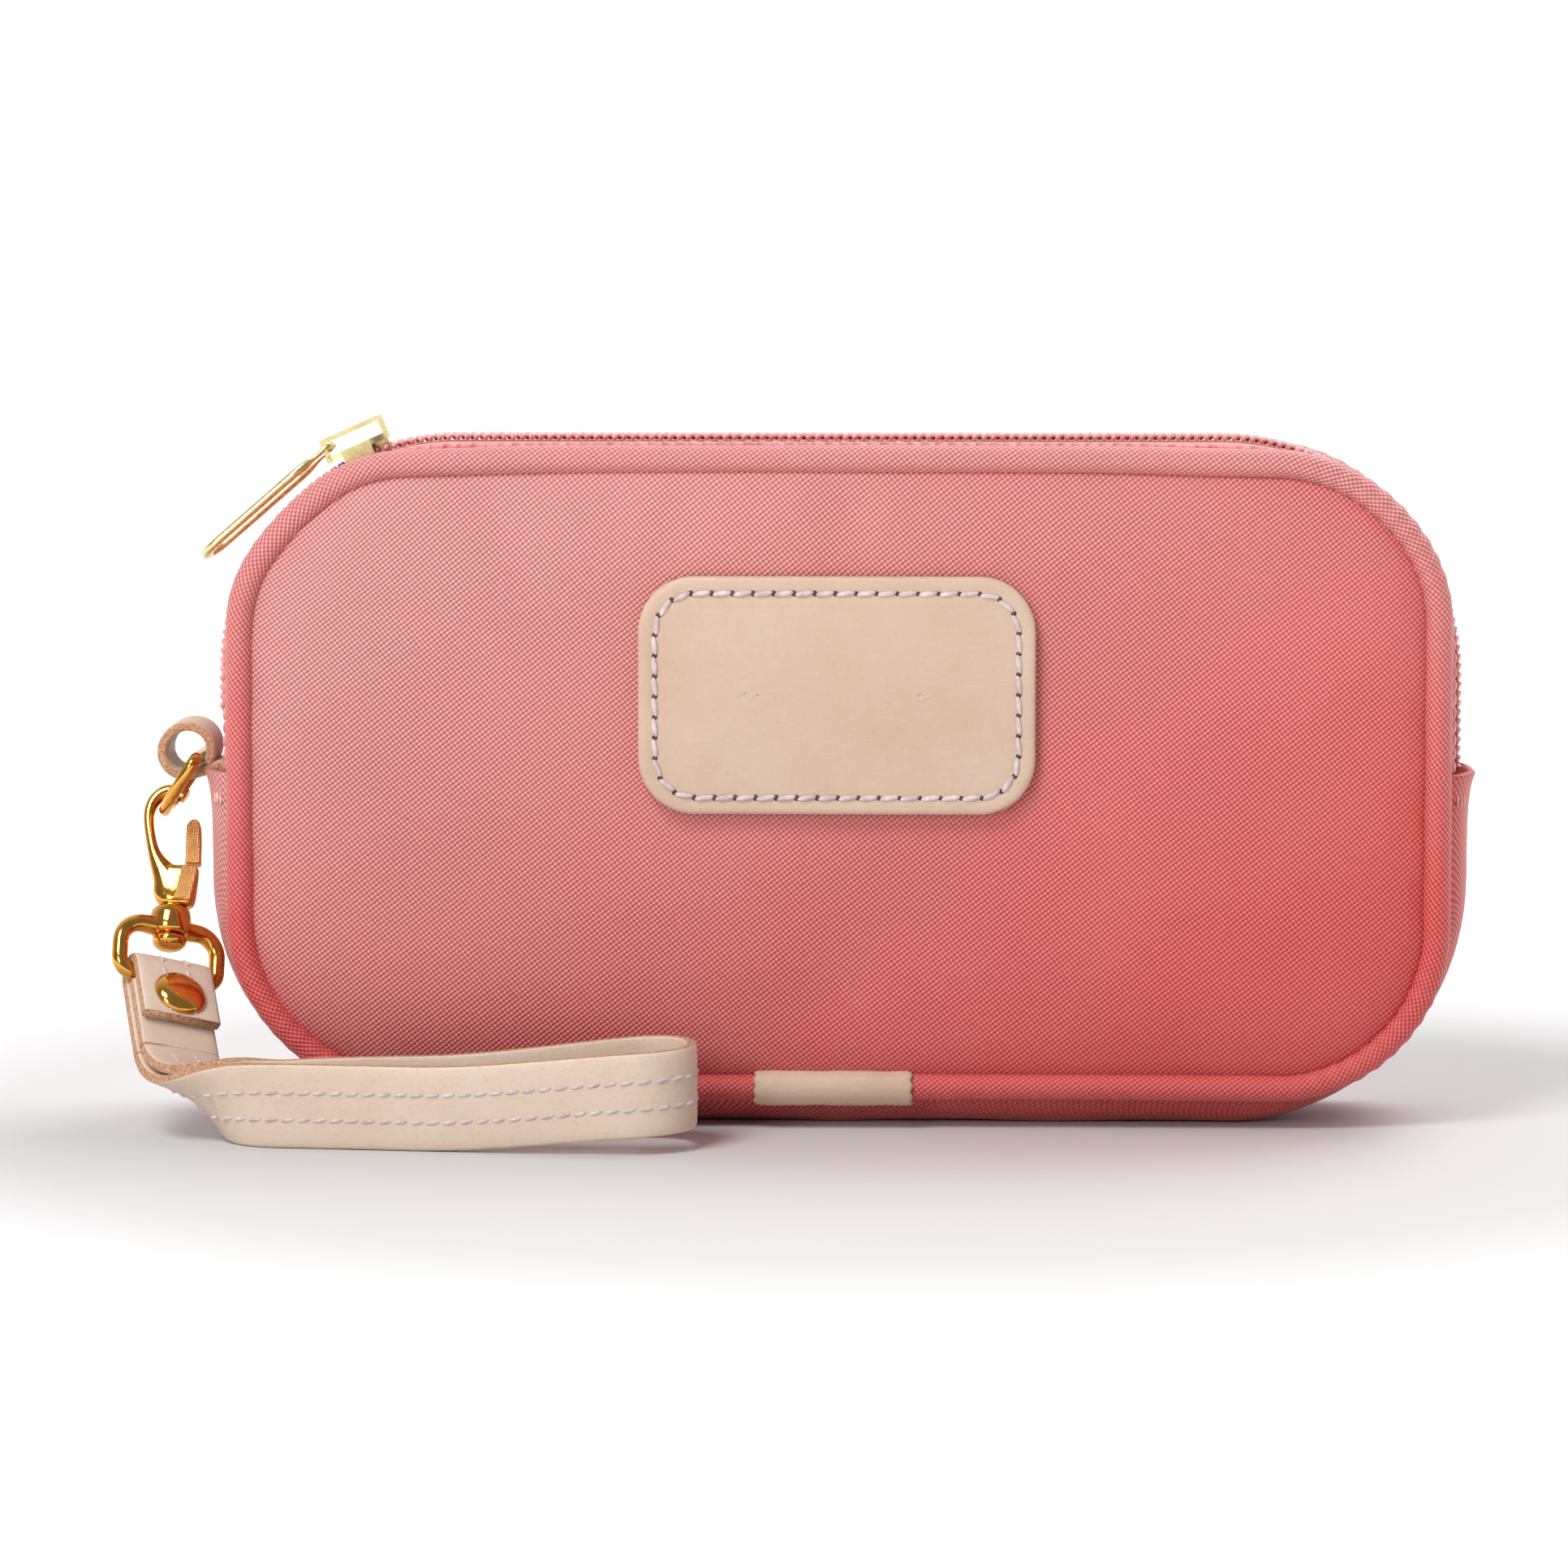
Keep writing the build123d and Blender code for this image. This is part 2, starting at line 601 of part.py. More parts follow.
KNOB_R = 2.8
KNOB_H = 2.4
with BuildPart() as swivel_stem:
    with BuildSketch(STEM_PLANE.offset(BODY_LOW + 2.6)):
        Circle(STEM_R - 0.02)
    extrude(amount=BOSS_LOW - 0.15 - BODY_LOW - 2.6)
    with BuildSketch(STEM_PLANE.offset(BOSS_LOW - 0.15)):
        Circle(KNOB_R)
    extrude(amount=-KNOB_H)
    fillet(swivel_stem.edges().group_by(Axis.Z)[0], 0.9)
save(swivel_stem.part, "swivel_stem")

# --------------------------------------------------------------- swivel eye
eye_turn = radians(EYE_TURN)
eye_along = HOOK_PLANE.x_dir * cos(eye_turn) - HOOK_PLANE.z_dir * sin(eye_turn)
EYE_PLANE = Plane(HOOK_PLANE.origin, x_dir=eye_along, z_dir=eye_along.cross(HOOK_PLANE.y_dir))
with BuildPart() as swivel_eye:
    with BuildLine(EYE_PLANE) as eye_line:
        FilletPolyline(
            (EYE_W / 2, EYE_TOP),
            (EYE_W / 2, EYE_LOW),
            (-EYE_W / 2, EYE_LOW),
            (-EYE_W / 2, EYE_TOP),
            radius=(EYE_SHOULDER, EYE_CORNER, EYE_CORNER, EYE_SHOULDER),
            close=True,
        )
    eye_path = eye_line.wire()
    with BuildSketch(Plane(eye_path @ 0, z_dir=eye_path % 0)):
        Circle(EYE_WIRE / 2)
    sweep(path=eye_path)
    with BuildSketch(STEM_PLANE.offset(BOSS_LOW)):
        Circle(BOSS_R)
    extrude(amount=BOSS_TOP - BOSS_LOW)
    with BuildSketch(STEM_PLANE.offset(BOSS_LOW - 1)):
        Circle(STEM_R + 0.05)
    extrude(amount=BOSS_TOP - BOSS_LOW + 2, mode=Mode.SUBTRACT)
save(swivel_eye.part, "swivel_eye")

# -------------------------------------------------------------- wrist strap
# The strap's own frame at the eye: width, down its length, and its face.
strap_bar = EYE_PLANE.from_local_coords(Vector(0, EYE_LOW, 0))
strap_across = EYE_PLANE.x_dir
lay_down = Vector(0.207, -0.744, -0.635)
strap_down = (lay_down - strap_across * lay_down.dot(strap_across)).normalized()
strap_face = strap_down.cross(strap_across)
SIDE_PLANE = Plane(strap_bar, x_dir=strap_face, z_dir=strap_across)  # y runs up the strap
WRAP_IN = EYE_WIRE / 2 + 0.1
WRAP_OUT = WRAP_IN + STRAP_T
LAYERS_L = 16.0  # the riveted end, below the bar
UNDER_X = -(WRAP_IN + WRAP_OUT) / 2
sign_up = 1 if SIDE_PLANE.y_dir.dot(strap_down) < 0 else -1


def strap_slab(x_low, x_high, down_from, down_to):
    """A flat length of strap, seen from its edge, in SIDE_PLANE."""
    middle = ((x_low + x_high) / 2, -sign_up * (down_from + down_to) / 2)
    with Locations(middle):
        Rectangle(x_high - x_low, down_to - down_from)


POST_R = 1.3
with BuildPart() as rivet_drill:
    with BuildSketch(Plane(strap_bar + strap_down * RIVET_DOWN - strap_face * 6, z_dir=strap_face)):
        Circle(POST_R + 0.02)
    extrude(amount=12)

with BuildPart() as strap_end:
    with BuildSketch(SIDE_PLANE.offset(-STRAP_W / 2)):
        Circle(WRAP_OUT)
        strap_slab(WRAP_IN, WRAP_OUT, 0, FLAP_L)
        strap_slab(-WRAP_OUT, -WRAP_IN, 0, LAYERS_L)
        Circle(WRAP_IN, mode=Mode.SUBTRACT)
        with Locations((0, -sign_up * WRAP_OUT / 2)):
            Rectangle(2 * WRAP_IN, WRAP_OUT, mode=Mode.SUBTRACT)
    extrude(amount=STRAP_W)
    add(rivet_drill.part, mode=Mode.SUBTRACT)
save(strap_end.part, "strap_end")

with BuildPart() as strap_tail:
    with BuildSketch(SIDE_PLANE.offset(-STRAP_W / 2)):
        strap_slab(-STRAP_T / 2, STRAP_T / 2, WRAP_IN + 0.6, LAYERS_L)
    extrude(amount=STRAP_W)
    add(rivet_drill.part, mode=Mode.SUBTRACT)
save(strap_tail.part, "strap_tail")

CAP_H = 1.7
CAP_EDGE = 0.5
with BuildPart() as rivet_cap:
    with BuildSketch(
        Plane(strap_bar + strap_down * RIVET_DOWN + strap_face * (WRAP_OUT + 0.02), z_dir=strap_face)
    ):
        Circle(RIVET_CAP_D / 2)
    extrude(amount=CAP_H)
    cap_rim = rivet_cap.faces().sort_by(Axis(strap_bar, strap_face))[-1].edges()
    fillet(cap_rim, CAP_H - CAP_EDGE)
save(rivet_cap.part, "rivet_cap")

BACK_H = 0.8
with BuildPart() as rivet_post:
    with BuildSketch(
        Plane(strap_bar + strap_down * RIVET_DOWN - strap_face * (WRAP_OUT + 0.02), z_dir=strap_face)
    ):
        Circle(POST_R)
    extrude(amount=2 * WRAP_OUT + 0.03)
    with BuildSketch(
        Plane(strap_bar + strap_down * RIVET_DOWN - strap_face * (WRAP_OUT + 0.02), z_dir=-strap_face)
    ):
        Circle(RIVET_CAP_D / 2 - 0.3)
    extrude(amount=BACK_H)
save(rivet_post.part, "rivet_post")

# Below the rivet the two layers part, turn on edge and run along the floor.
MEET_GAP = 0.1
twist_start = strap_bar + strap_down * (LAYERS_L + MEET_GAP) + strap_face * (UNDER_X / 2)
twist_end = Vector(LOOP_LEFT_X - MEET_GAP, LOOP_Y, STRAP_W / 2)
TWIST_PULL = 9.0  # how long each end keeps its direction
TWIST_STEPS = 7


def twist_section(part_way, side):
    """One cross section of a strap layer between the rivet and the loop."""
    t = part_way
    handles = (
        twist_start,
        twist_start + strap_down * TWIST_PULL,
        twist_end - Vector(TWIST_PULL, 0, 0),
        twist_end,
    )
    weights = ((1 - t) ** 3, 3 * t * (1 - t) ** 2, 3 * t**2 * (1 - t), t**3)
    middle = Vector(0, 0, 0)
    for handle, weight in zip(handles, weights):
        middle += handle * weight
    slopes = (-((1 - t) ** 2), (1 - t) * (1 - 3 * t), t * (2 - 3 * t), t**2)
    along = Vector(0, 0, 0)
    for handle, slope in zip(handles, slopes):
        along += handle * slope
    along = along.normalized()
    turn = t * t * (3 - 2 * t)
    across = strap_across * (1 - turn) + Vector(0, 0, -1) * turn
    across = (across - along * across.dot(along)).normalized()
    face = along.cross(across)
    spread = -UNDER_X / 2 * (1 - turn) + LOOP_NARROW * turn
    middle += face * (side * spread)
    reach_down = STRAP_W / 2 * abs(across.Z) + STRAP_T / 2 * abs(face.Z)
    middle += Vector(0, 0, max(reach_down - middle.Z, 0))
    with BuildSketch(Plane(middle, x_dir=across, z_dir=along)) as section:
        Rectangle(STRAP_W, STRAP_T)
    return section.sketch


for side, name in ((-1, "strap_twist_near"), (1, "strap_twist_far")):
    with BuildPart() as strap_twist:
        loft([twist_section(step / TWIST_STEPS, side) for step in range(TWIST_STEPS + 1)], ruled=True)
    save(strap_twist.part, name)

with BuildPart() as strap_loop:
    with BuildSketch(Plane.XY):
        for grow, mode in ((STRAP_T / 2, Mode.ADD), (-STRAP_T / 2, Mode.SUBTRACT)):
            with BuildSketch(mode=Mode.PRIVATE) as two_ends:
                with Locations((LOOP_LEFT_X, LOOP_Y)):
                    Circle(LOOP_NARROW + grow)
                with Locations((LOOP_RIGHT_X, LOOP_Y)):
                    Circle(LOOP_WIDE + grow)
            add(make_hull(two_ends.sketch.edges()), mode=mode)
        with Locations((LOOP_LEFT_X, LOOP_Y)):
            Rectangle(20, 20, align=(Align.MAX, Align.CENTER), mode=Mode.SUBTRACT)
    extrude(amount=STRAP_W)
save(strap_loop.part, "strap_loop")
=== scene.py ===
import logging
from dataclasses import dataclass, field
from enum import Enum
from typing import List, Optional, Sequence, Tuple

import bpy
import numpy as np
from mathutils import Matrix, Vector


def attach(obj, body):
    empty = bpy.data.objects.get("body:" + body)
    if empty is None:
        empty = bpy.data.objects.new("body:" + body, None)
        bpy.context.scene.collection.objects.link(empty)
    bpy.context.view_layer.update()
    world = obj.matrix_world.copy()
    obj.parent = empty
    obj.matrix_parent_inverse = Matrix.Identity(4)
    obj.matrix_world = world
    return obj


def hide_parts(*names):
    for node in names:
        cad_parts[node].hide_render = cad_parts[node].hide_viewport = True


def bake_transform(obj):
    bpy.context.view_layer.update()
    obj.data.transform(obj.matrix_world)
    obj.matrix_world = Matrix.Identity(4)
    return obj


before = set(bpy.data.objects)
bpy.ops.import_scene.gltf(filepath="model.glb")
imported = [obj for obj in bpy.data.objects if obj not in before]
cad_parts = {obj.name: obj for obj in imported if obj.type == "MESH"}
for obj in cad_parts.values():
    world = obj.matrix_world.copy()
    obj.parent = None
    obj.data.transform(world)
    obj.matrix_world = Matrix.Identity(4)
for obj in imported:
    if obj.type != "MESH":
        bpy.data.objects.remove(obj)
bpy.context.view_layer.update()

LOG = logging.getLogger("wristlet")
MM = 0.001
TURN = 2 * np.pi
Array = np.ndarray


class Band(Enum):
    """Which part of the gusset's closed line a strip of cloth follows."""

    BOTTOM = -1
    TOP = 1


class Face(Enum):
    """Front or back of the pouch."""

    FRONT = -1
    BACK = 1

    @property
    def label(self) -> str:
        """Its name as pieces and nodes write it."""
        return self.name.lower()


# ------------------------------------------------------------ numbers to meshes
def unit(v: Array) -> Array:
    """Return vectors along the last axis at length one."""
    return v / np.maximum(np.linalg.norm(v, axis=-1, keepdims=True), 1e-12)


def smooth(t: Array) -> Array:
    """Ease from 0 to 1: three t squared less two t cubed."""
    t = np.clip(t, 0.0, 1.0)
    return t * t * (3 - 2 * t)


def bell(d: Array) -> Array:
    """A bell curve, e to the power of minus d squared."""
    return np.exp(-(d**2))


def arc_length(path: Array) -> Array:
    """Distance along a line of points, starting from 0."""
    steps = np.linalg.norm(np.diff(path, axis=0), axis=-1)
    return np.concatenate([[0.0], np.cumsum(steps)])


def resample(path: Array, places: Array) -> Array:
    """Points of a line at the given distances along it."""
    s = arc_length(path)
    return np.stack([np.interp(places, s, path[:, k]) for k in range(path.shape[1])], -1)


def build(name: str, points: Array, faces: List[List[int]], uv: Optional[Array] = None,
          soft: bool = True) -> bpy.types.Object:
    """Put a finished mesh in the scene.

    Args:
        name: The piece's name.
        points: Vertices in millimetres, one row each.
        faces: Vertex numbers of each face.
        uv: One pair for each corner of each face, in millimetres of cloth.
        soft: True for smooth shading.

    Returns:
        The new object, at the origin.
    """
    mesh = bpy.data.meshes.new(name)
    mesh.from_pydata((points.reshape(-1, 3) * MM).tolist(), [], faces)
    if uv is not None:
        layer = mesh.uv_layers.new(name="cloth")
        layer.data.foreach_set("uv", uv.reshape(-1).astype(np.float32))
    mesh.polygons.foreach_set("use_smooth", [soft] * len(mesh.polygons))
    mesh.update()
    thing = bpy.data.objects.new(name, mesh)
    bpy.context.scene.collection.objects.link(thing)
    return thing


def grid(name: str, points: Array, uv: Optional[Array] = None, close_u: bool = False,
         close_v: bool = False, flip: bool = False, caps: bool = False) -> bpy.types.Object:
    """A surface from a grid of points, with quads between neighbours.

    Args:
        name: The piece's name.
        points: Array of rows, columns and 3 numbers, in millimetres.
        uv: Rows, columns and 2 numbers, with one more row or column where closed.
        close_u: Join the last row to the first.
        close_v: Join the last column to the first.
        flip: Turn the faces over.
        caps: Close the first and last rows with a face each.

    Returns:
        The new object.
    """
    rows, cols = points.shape[:2]
    i, j = np.meshgrid(np.arange(rows - 1 + close_u), np.arange(cols - 1 + close_v), indexing="ij")
    corners = [(i, j), (i + 1, j), (i + 1, j + 1), (i, j + 1)]
    if flip:
        corners = corners[::-1]
    quads = np.stack([(a % rows) * cols + b % cols for a, b in corners], -1).reshape(-1, 4)
    faces = quads.tolist()
    if uv is not None:
        pairs = np.stack([uv[a, b] for a, b in corners], -2).reshape(-1, 2)
    if caps:
        first, last = list(range(cols)), list(range((rows - 1) * cols, rows * cols))
        ends = [first[::-1], last] if flip else [first, last[::-1]]
        faces += ends
        if uv is not None:
            pairs = np.concatenate([pairs, np.zeros((2 * cols, 2))])
    return build(name, points, faces, pairs if uv is not None else None)


def frames(path: Array, up: Array) -> Tuple[Array, Array, Array]:
    """Direction, side and up vectors at each point of a line.

    Args:
        path: The line's points.
        up: A vector, or one for each point, that the up side keeps near.

    Returns:
        Unit vectors along the line, across it, and up.
    """
    along = unit(np.gradient(path, axis=0))
    side = unit(np.cross(along, np.broadcast_to(up, along.shape)))
    return along, side, np.cross(side, along)


def sweep(name: str, path: Array, up: Array, section: Array, closed: bool = False,
          scale: Optional[Array] = None) -> bpy.types.Object:
    """Carry a closed cross section along a line.

    Each vertex is the line's point plus the section's first number along the side
    vector and its second along the up vector.

    Args:
        name: The piece's name.
        path: The line's points, in millimetres.
        up: A vector, or one for each point, for the section's up side.
        section: Points across and up, or such a set for each point of the line.
        closed: True where the line's end meets its start.
        scale: The section's size at each point.

    Returns:
        The new object, with cloth lengths along and round it as its UV.
    """
    if closed:
        ring = np.concatenate([path[-1:], path, path[:1]])
        side, top = (a[1:-1] for a in frames(ring, up)[1:])
    else:
        side, top = frames(path, up)[1:]
    if section.ndim == 2:
        section = np.broadcast_to(section, (len(path),) + section.shape)
    if scale is not None:
        section = section * scale[:, None, None]
    points = (path[:, None] + side[:, None] * section[..., :1] + top[:, None] * section[..., 1:])
    loop = np.concatenate([path, path[:1]]) if closed else path
    u = arc_length(loop)
    v = arc_length(np.concatenate([section[0], section[0][:1]]))
    uv = np.stack(np.broadcast_arrays(u[:, None], v[None]), -1)
    return grid(name, points, uv, closed, True, caps=not closed)


def circle(radius: float, count: int = 16) -> Array:
    """Points round a circle, anticlockwise."""
    a = np.arange(count) * TURN / count
    return radius * np.stack([np.cos(a), np.sin(a)], -1)


def soft_box(width: float, height: float, power: float = 6.0, count: int = 32) -> Array:
    """A rectangle with rounded corners.

    It is the superellipse where the powers of both shares of the half sides sum to one.
    """
    a = (np.arange(count) + 0.5) * TURN / count
    c, s = np.cos(a), np.sin(a)
    reach = (np.abs(c) ** power + np.abs(s) ** power) ** (-1 / power)
    return np.stack([width / 2 * c * reach, height / 2 * s * reach], -1)


def lathe(name: str, centre: Array, axis: Array, profile: Array, count: int = 40) -> bpy.types.Object:
    """Turn a profile about an axis.

    Args:
        name: The piece's name.
        centre: A point on the axis.
        axis: The axis direction.
        profile: Pairs of radius and height; the end radii are nearly nothing.
        count: Steps round.

    Returns:
        The new object.
    """
    w = unit(np.asarray(axis, float))
    a = unit(np.cross(w, [0.31, 0.87, 0.38]))
    b = np.cross(w, a)
    t = np.arange(count) * TURN / count
    ring = np.cos(t)[:, None] * a + np.sin(t)[:, None] * b
    points = centre + profile[:, None, :1] * ring[None] + profile[:, None, 1:] * w
    return grid(name, points, None, False, True, flip=True, caps=True)


def scatter(name: str, shape: Array, faces: List[List[int]], places: Array, turns: Array
            ) -> bpy.types.Object:
    """Many copies of one small shape in a single mesh.

    Args:
        name: The piece's name.
        shape: The small shape's vertices.
        faces: Its faces.
        places: Where each copy goes.
        turns: Three unit vectors for each copy, for the shape's x, y and z.

    Returns:
        The new object.
    """
    points = places[:, None] + np.einsum("vk,nkx->nvx", shape, turns)
    base = (np.arange(len(places)) * len(shape)).tolist()
    every = [[f + start for f in face] for start in base for face in faces]
    return build(name, points, every)


def pill(length: float, width: float, height: float, rings: int = 5, sides: int = 8
         ) -> Tuple[Array, List[List[int]]]:
    """A small rounded bar along x, its section an ellipse that closes at both ends."""
    x = np.cos(np.linspace(np.pi * 0.96, np.pi * 0.04, rings))
    r = np.sqrt(1 - x**2) ** 0.7
    ring = circle(1.0, sides)
    points = np.stack([np.broadcast_to(x[:, None] * length / 2, (rings, sides)),
                       r[:, None] * ring[None, :, 0] * width / 2,
                       r[:, None] * ring[None, :, 1] * height / 2], -1).reshape(-1, 3)
    quads = [[i * sides + j, i * sides + (j + 1) % sides, (i + 1) * sides + (j + 1) % sides,
              (i + 1) * sides + j] for i in range(rings - 1) for j in range(sides)]
    flipped = [q[::-1] for q in quads]
    start = list(range(sides))
    end = list(range((rings - 1) * sides, rings * sides))
    return points, flipped + [start, end[::-1]]


def finish_piece(thing: bpy.types.Object, material: bpy.types.Material, slot: str, body: str,
                 replaced: Sequence[str] = ()) -> bpy.types.Object:
    """Give a piece its finish, its body and the CAD nodes it stands for.

    Args:
        thing: The piece.
        material: Its finish.
        slot: The material slot of the record.
        body: The body it moves with, or an empty string for none.
        replaced: CAD nodes that are hidden.

    Returns:
        The same piece.
    """
    thing.data.materials.clear()
    thing.data.materials.append(material)
    if body:
        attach(thing, body)
    if replaced:
        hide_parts(*replaced)
    LOG.info("%s: %d faces, %s", thing.name, len(thing.data.polygons), slot)
    return thing


def thicken(thing: bpy.types.Object, thickness: float) -> bpy.types.Object:
    """Give a sheet its thickness, in millimetres, on the inner side."""
    wall = thing.modifiers.new("thickness", "SOLIDIFY")
    wall.thickness = thickness * MM
    wall.offset = -1
    return thing


# ------------------------------------------------------------------- finishes
class Recipe:
    """A material under construction: it adds nodes and joins them."""

    def __init__(self, name: str) -> None:
        """Start a material with an empty shader.

        Args:
            name: The material's name.
        """
        self.material = bpy.data.materials.new(name)
        self.material.use_nodes = True
        self.tree = self.material.node_tree
        self.shader = self.tree.nodes["Principled BSDF"]
        self.places = self.tree.nodes.new("ShaderNodeTexCoord")

    def add(self, kind: str, **values: object) -> bpy.types.Node:
        """Add a node; values that are sockets are joined, others are set.

        Args:
            kind: The node's type, less its common first word.
            values: Node settings, and inputs as i0, i1 and so on or by name.

        Returns:
            The node.
        """
        node = self.tree.nodes.new("ShaderNode" + kind)
        for key, value in values.items():
            if key.startswith("i_"):
                name = key[2:]
                socket = node.inputs[int(name) if name.isdigit() else name.replace("_", " ")]
                if isinstance(value, bpy.types.NodeSocket):
                    self.tree.links.new(value, socket)
                else:
                    socket.default_value = value
            else:
                setattr(node, key, value)
        return node

    def math(self, operation: str, a: object, b: object = 0.0, clamp: bool = False
             ) -> bpy.types.NodeSocket:
        """One step of arithmetic on two numbers or sockets."""
        return self.add("Math", operation=operation, i_0=a, i_1=b, use_clamp=clamp).outputs[0]

    def place(self, source: str, scale: Sequence[float], turn: float = 0.0) -> bpy.types.NodeSocket:
        """Coordinates in millimetres, scaled, turned about the third axis.

        Args:
            source: Object or UV.
            scale: Three factors.
            turn: The angle in degrees.

        Returns:
            The coordinate socket.
        """
        factor = 1000.0 if source == "Object" else 1.0
        sized = tuple(s * factor for s in scale)
        node = self.add("Mapping", i_Vector=self.places.outputs[source], i_Scale=sized)
        node.inputs["Rotation"].default_value = (0.0, 0.0, np.radians(turn))
        return node.outputs[0]

    def noise(self, where: bpy.types.NodeSocket, size: float, detail: float = 3.0,
              rough: float = 0.55) -> bpy.types.NodeSocket:
        """Cloudy noise from 0 to 1, size being the scale."""
        node = self.add("TexNoise", i_Vector=where, i_Scale=size, i_Detail=detail, i_Roughness=rough)
        return node.outputs[0]

    def span(self, value: object, low: float, high: float, start: float = 0.0, end: float = 1.0
             ) -> bpy.types.NodeSocket:
        """Map low..high of a value to start..end, and no further."""
        node = self.add("MapRange", i_Value=value, i_From_Min=low, i_From_Max=high, i_To_Min=start,
                        i_To_Max=end)
        return node.outputs[0]

    def blend(self, share: object, a: object, b: object) -> bpy.types.NodeSocket:
        """Mix two colours by a share."""
        node = self.add("Mix", data_type="RGBA", i_0=share)
        for socket, value in ((node.inputs[6], a), (node.inputs[7], b)):
            if isinstance(value, bpy.types.NodeSocket):
                self.tree.links.new(value, socket)
            else:
                socket.default_value = value
        return node.outputs[2]

    def bump(self, height: bpy.types.NodeSocket, strength: float, depth: float,
             under: Optional[bpy.types.NodeSocket] = None) -> bpy.types.NodeSocket:
        """Relief of the given depth in millimetres, over another relief."""
        node = self.add("Bump", i_Height=height, i_Strength=strength, i_Distance=depth * MM)
        if under is not None:
            self.tree.links.new(under, node.inputs["Normal"])
        return node.outputs[0]

    def done(self, **values: object) -> bpy.types.Material:
        """Set or join the shader's sockets by name and return the material."""
        for key, value in values.items():
            socket = self.shader.inputs[key.replace("_", " ")]
            if isinstance(value, bpy.types.NodeSocket):
                self.tree.links.new(value, socket)
            else:
                socket.default_value = value
        return self.material


def paint(red: float, green: float, blue: float) -> Tuple[float, float, float, float]:
    """A screen colour of 0 to 255 as linear light."""
    c = np.array([red, green, blue]) / 255.0
    line = np.where(c <= 0.04045, c / 12.92, ((c + 0.055) / 1.055) ** 2.4)
    return (float(line[0]), float(line[1]), float(line[2]), 1.0)


@dataclass(frozen=True)
class CoatedCanvas:
    """Woven canvas under a thin satin coating: raised thread crowns on a diagonal, its colour paled
    upwards and towards the left by a painted sheen.
    """

    name: str = "coated_canvas"
    ground: Tuple[float, ...] = (180, 34, 38)
    crown: Tuple[float, ...] = (242, 114, 106)
    # The two pale colours and the three numbers after them paint a sheen that stands in for light from
    # the upper left: its slope along x, then where it starts and where it is full.
    ground_painted_sheen: Tuple[float, ...] = (182, 84, 86)
    crown_painted_sheen: Tuple[float, ...] = (226, 184, 178)
    fade: Tuple[float, float, float] = (-0.55, 6.0, 132.0)
    pitch: float = 0.94
    lean: float = 7.0
    twill: float = 0.6
    relief: float = 0.16
    bloom: float = 0.0

    def make(self) -> bpy.types.Material:
        """The weave is two cosine waves across each other, the stronger one making the rows.

        Returns:
            The finished material.
        """
        mix = Recipe(self.name)
        cloth = mix.place("UV", (1 / self.pitch, 1 / self.pitch, 1), self.lean)
        wobble = mix.noise(mix.place("UV", (0.03, 0.03, 1)), 1.0)
        axes = mix.add("SeparateXYZ", i_0=cloth)
        apart = mix.math("SUBTRACT", axes.outputs[0], axes.outputs[1])
        along = mix.math("COSINE", mix.math("MULTIPLY", apart, TURN))
        total = mix.math("ADD", axes.outputs[0], axes.outputs[1])
        across = mix.math("COSINE", mix.math("MULTIPLY", total, TURN))
        knots = mix.math("MULTIPLY_ADD", along, self.twill)
        mix.tree.links.new(mix.math("MULTIPLY", across, self.twill - 1.0), knots.node.inputs[2])
        share = mix.span(knots, -0.5, 0.8)
        grain = mix.noise(mix.place("UV", (1, 1, 1)), 9.0, 2.0)
        height = mix.math("MULTIPLY_ADD", grain, 0.25)
        mix.tree.links.new(share, height.node.inputs[2])
        fine = mix.bump(height, 0.85, self.relief)
        wide = mix.noise(mix.place("Object", (0.018, 0.018, 0.018)), 2.2, 2.0)
        # Painted sheen: the colour pales with height and towards the left on object coordinates, standing
        # in for the sheen of a soft light from the upper left.
        span = mix.add("SeparateXYZ", i_0=mix.place("Object", (1, 1, 1)))
        high = mix.math("MULTIPLY_ADD", span.outputs[2], 0.9)
        mix.tree.links.new(mix.math("MULTIPLY", span.outputs[0], self.fade[0]), high.node.inputs[2])
        painted_sheen_level = mix.math("MULTIPLY_ADD", wobble, 34.0)
        mix.tree.links.new(high, painted_sheen_level.node.inputs[2])
        pale = mix.span(painted_sheen_level, *self.fade[1:])
        ground = mix.blend(pale, paint(*self.ground), paint(*self.ground_painted_sheen))
        crown = mix.blend(pale, paint(*self.crown), paint(*self.crown_painted_sheen))
        colour = mix.blend(share, ground, crown)
        colour = mix.blend(mix.span(wobble, 0.3, 0.7, 0.0, 0.10), colour, paint(150, 34, 40))
        colour = mix.blend(mix.span(wide, 0.35, 0.7, 0.0, 0.08), colour, paint(236, 150, 142))
        rough = mix.span(share, 0, 1, 0.52, 0.40)
        return mix.done(Base_Color=colour, Roughness=rough, Normal=fine, Specular_IOR_Level=0.55,
                        Sheen_Weight=0.18 + self.bloom, Sheen_Roughness=0.45,
                        Sheen_Tint=paint(255, 214, 206), Coat_Weight=0.10, Coat_Roughness=0.38)


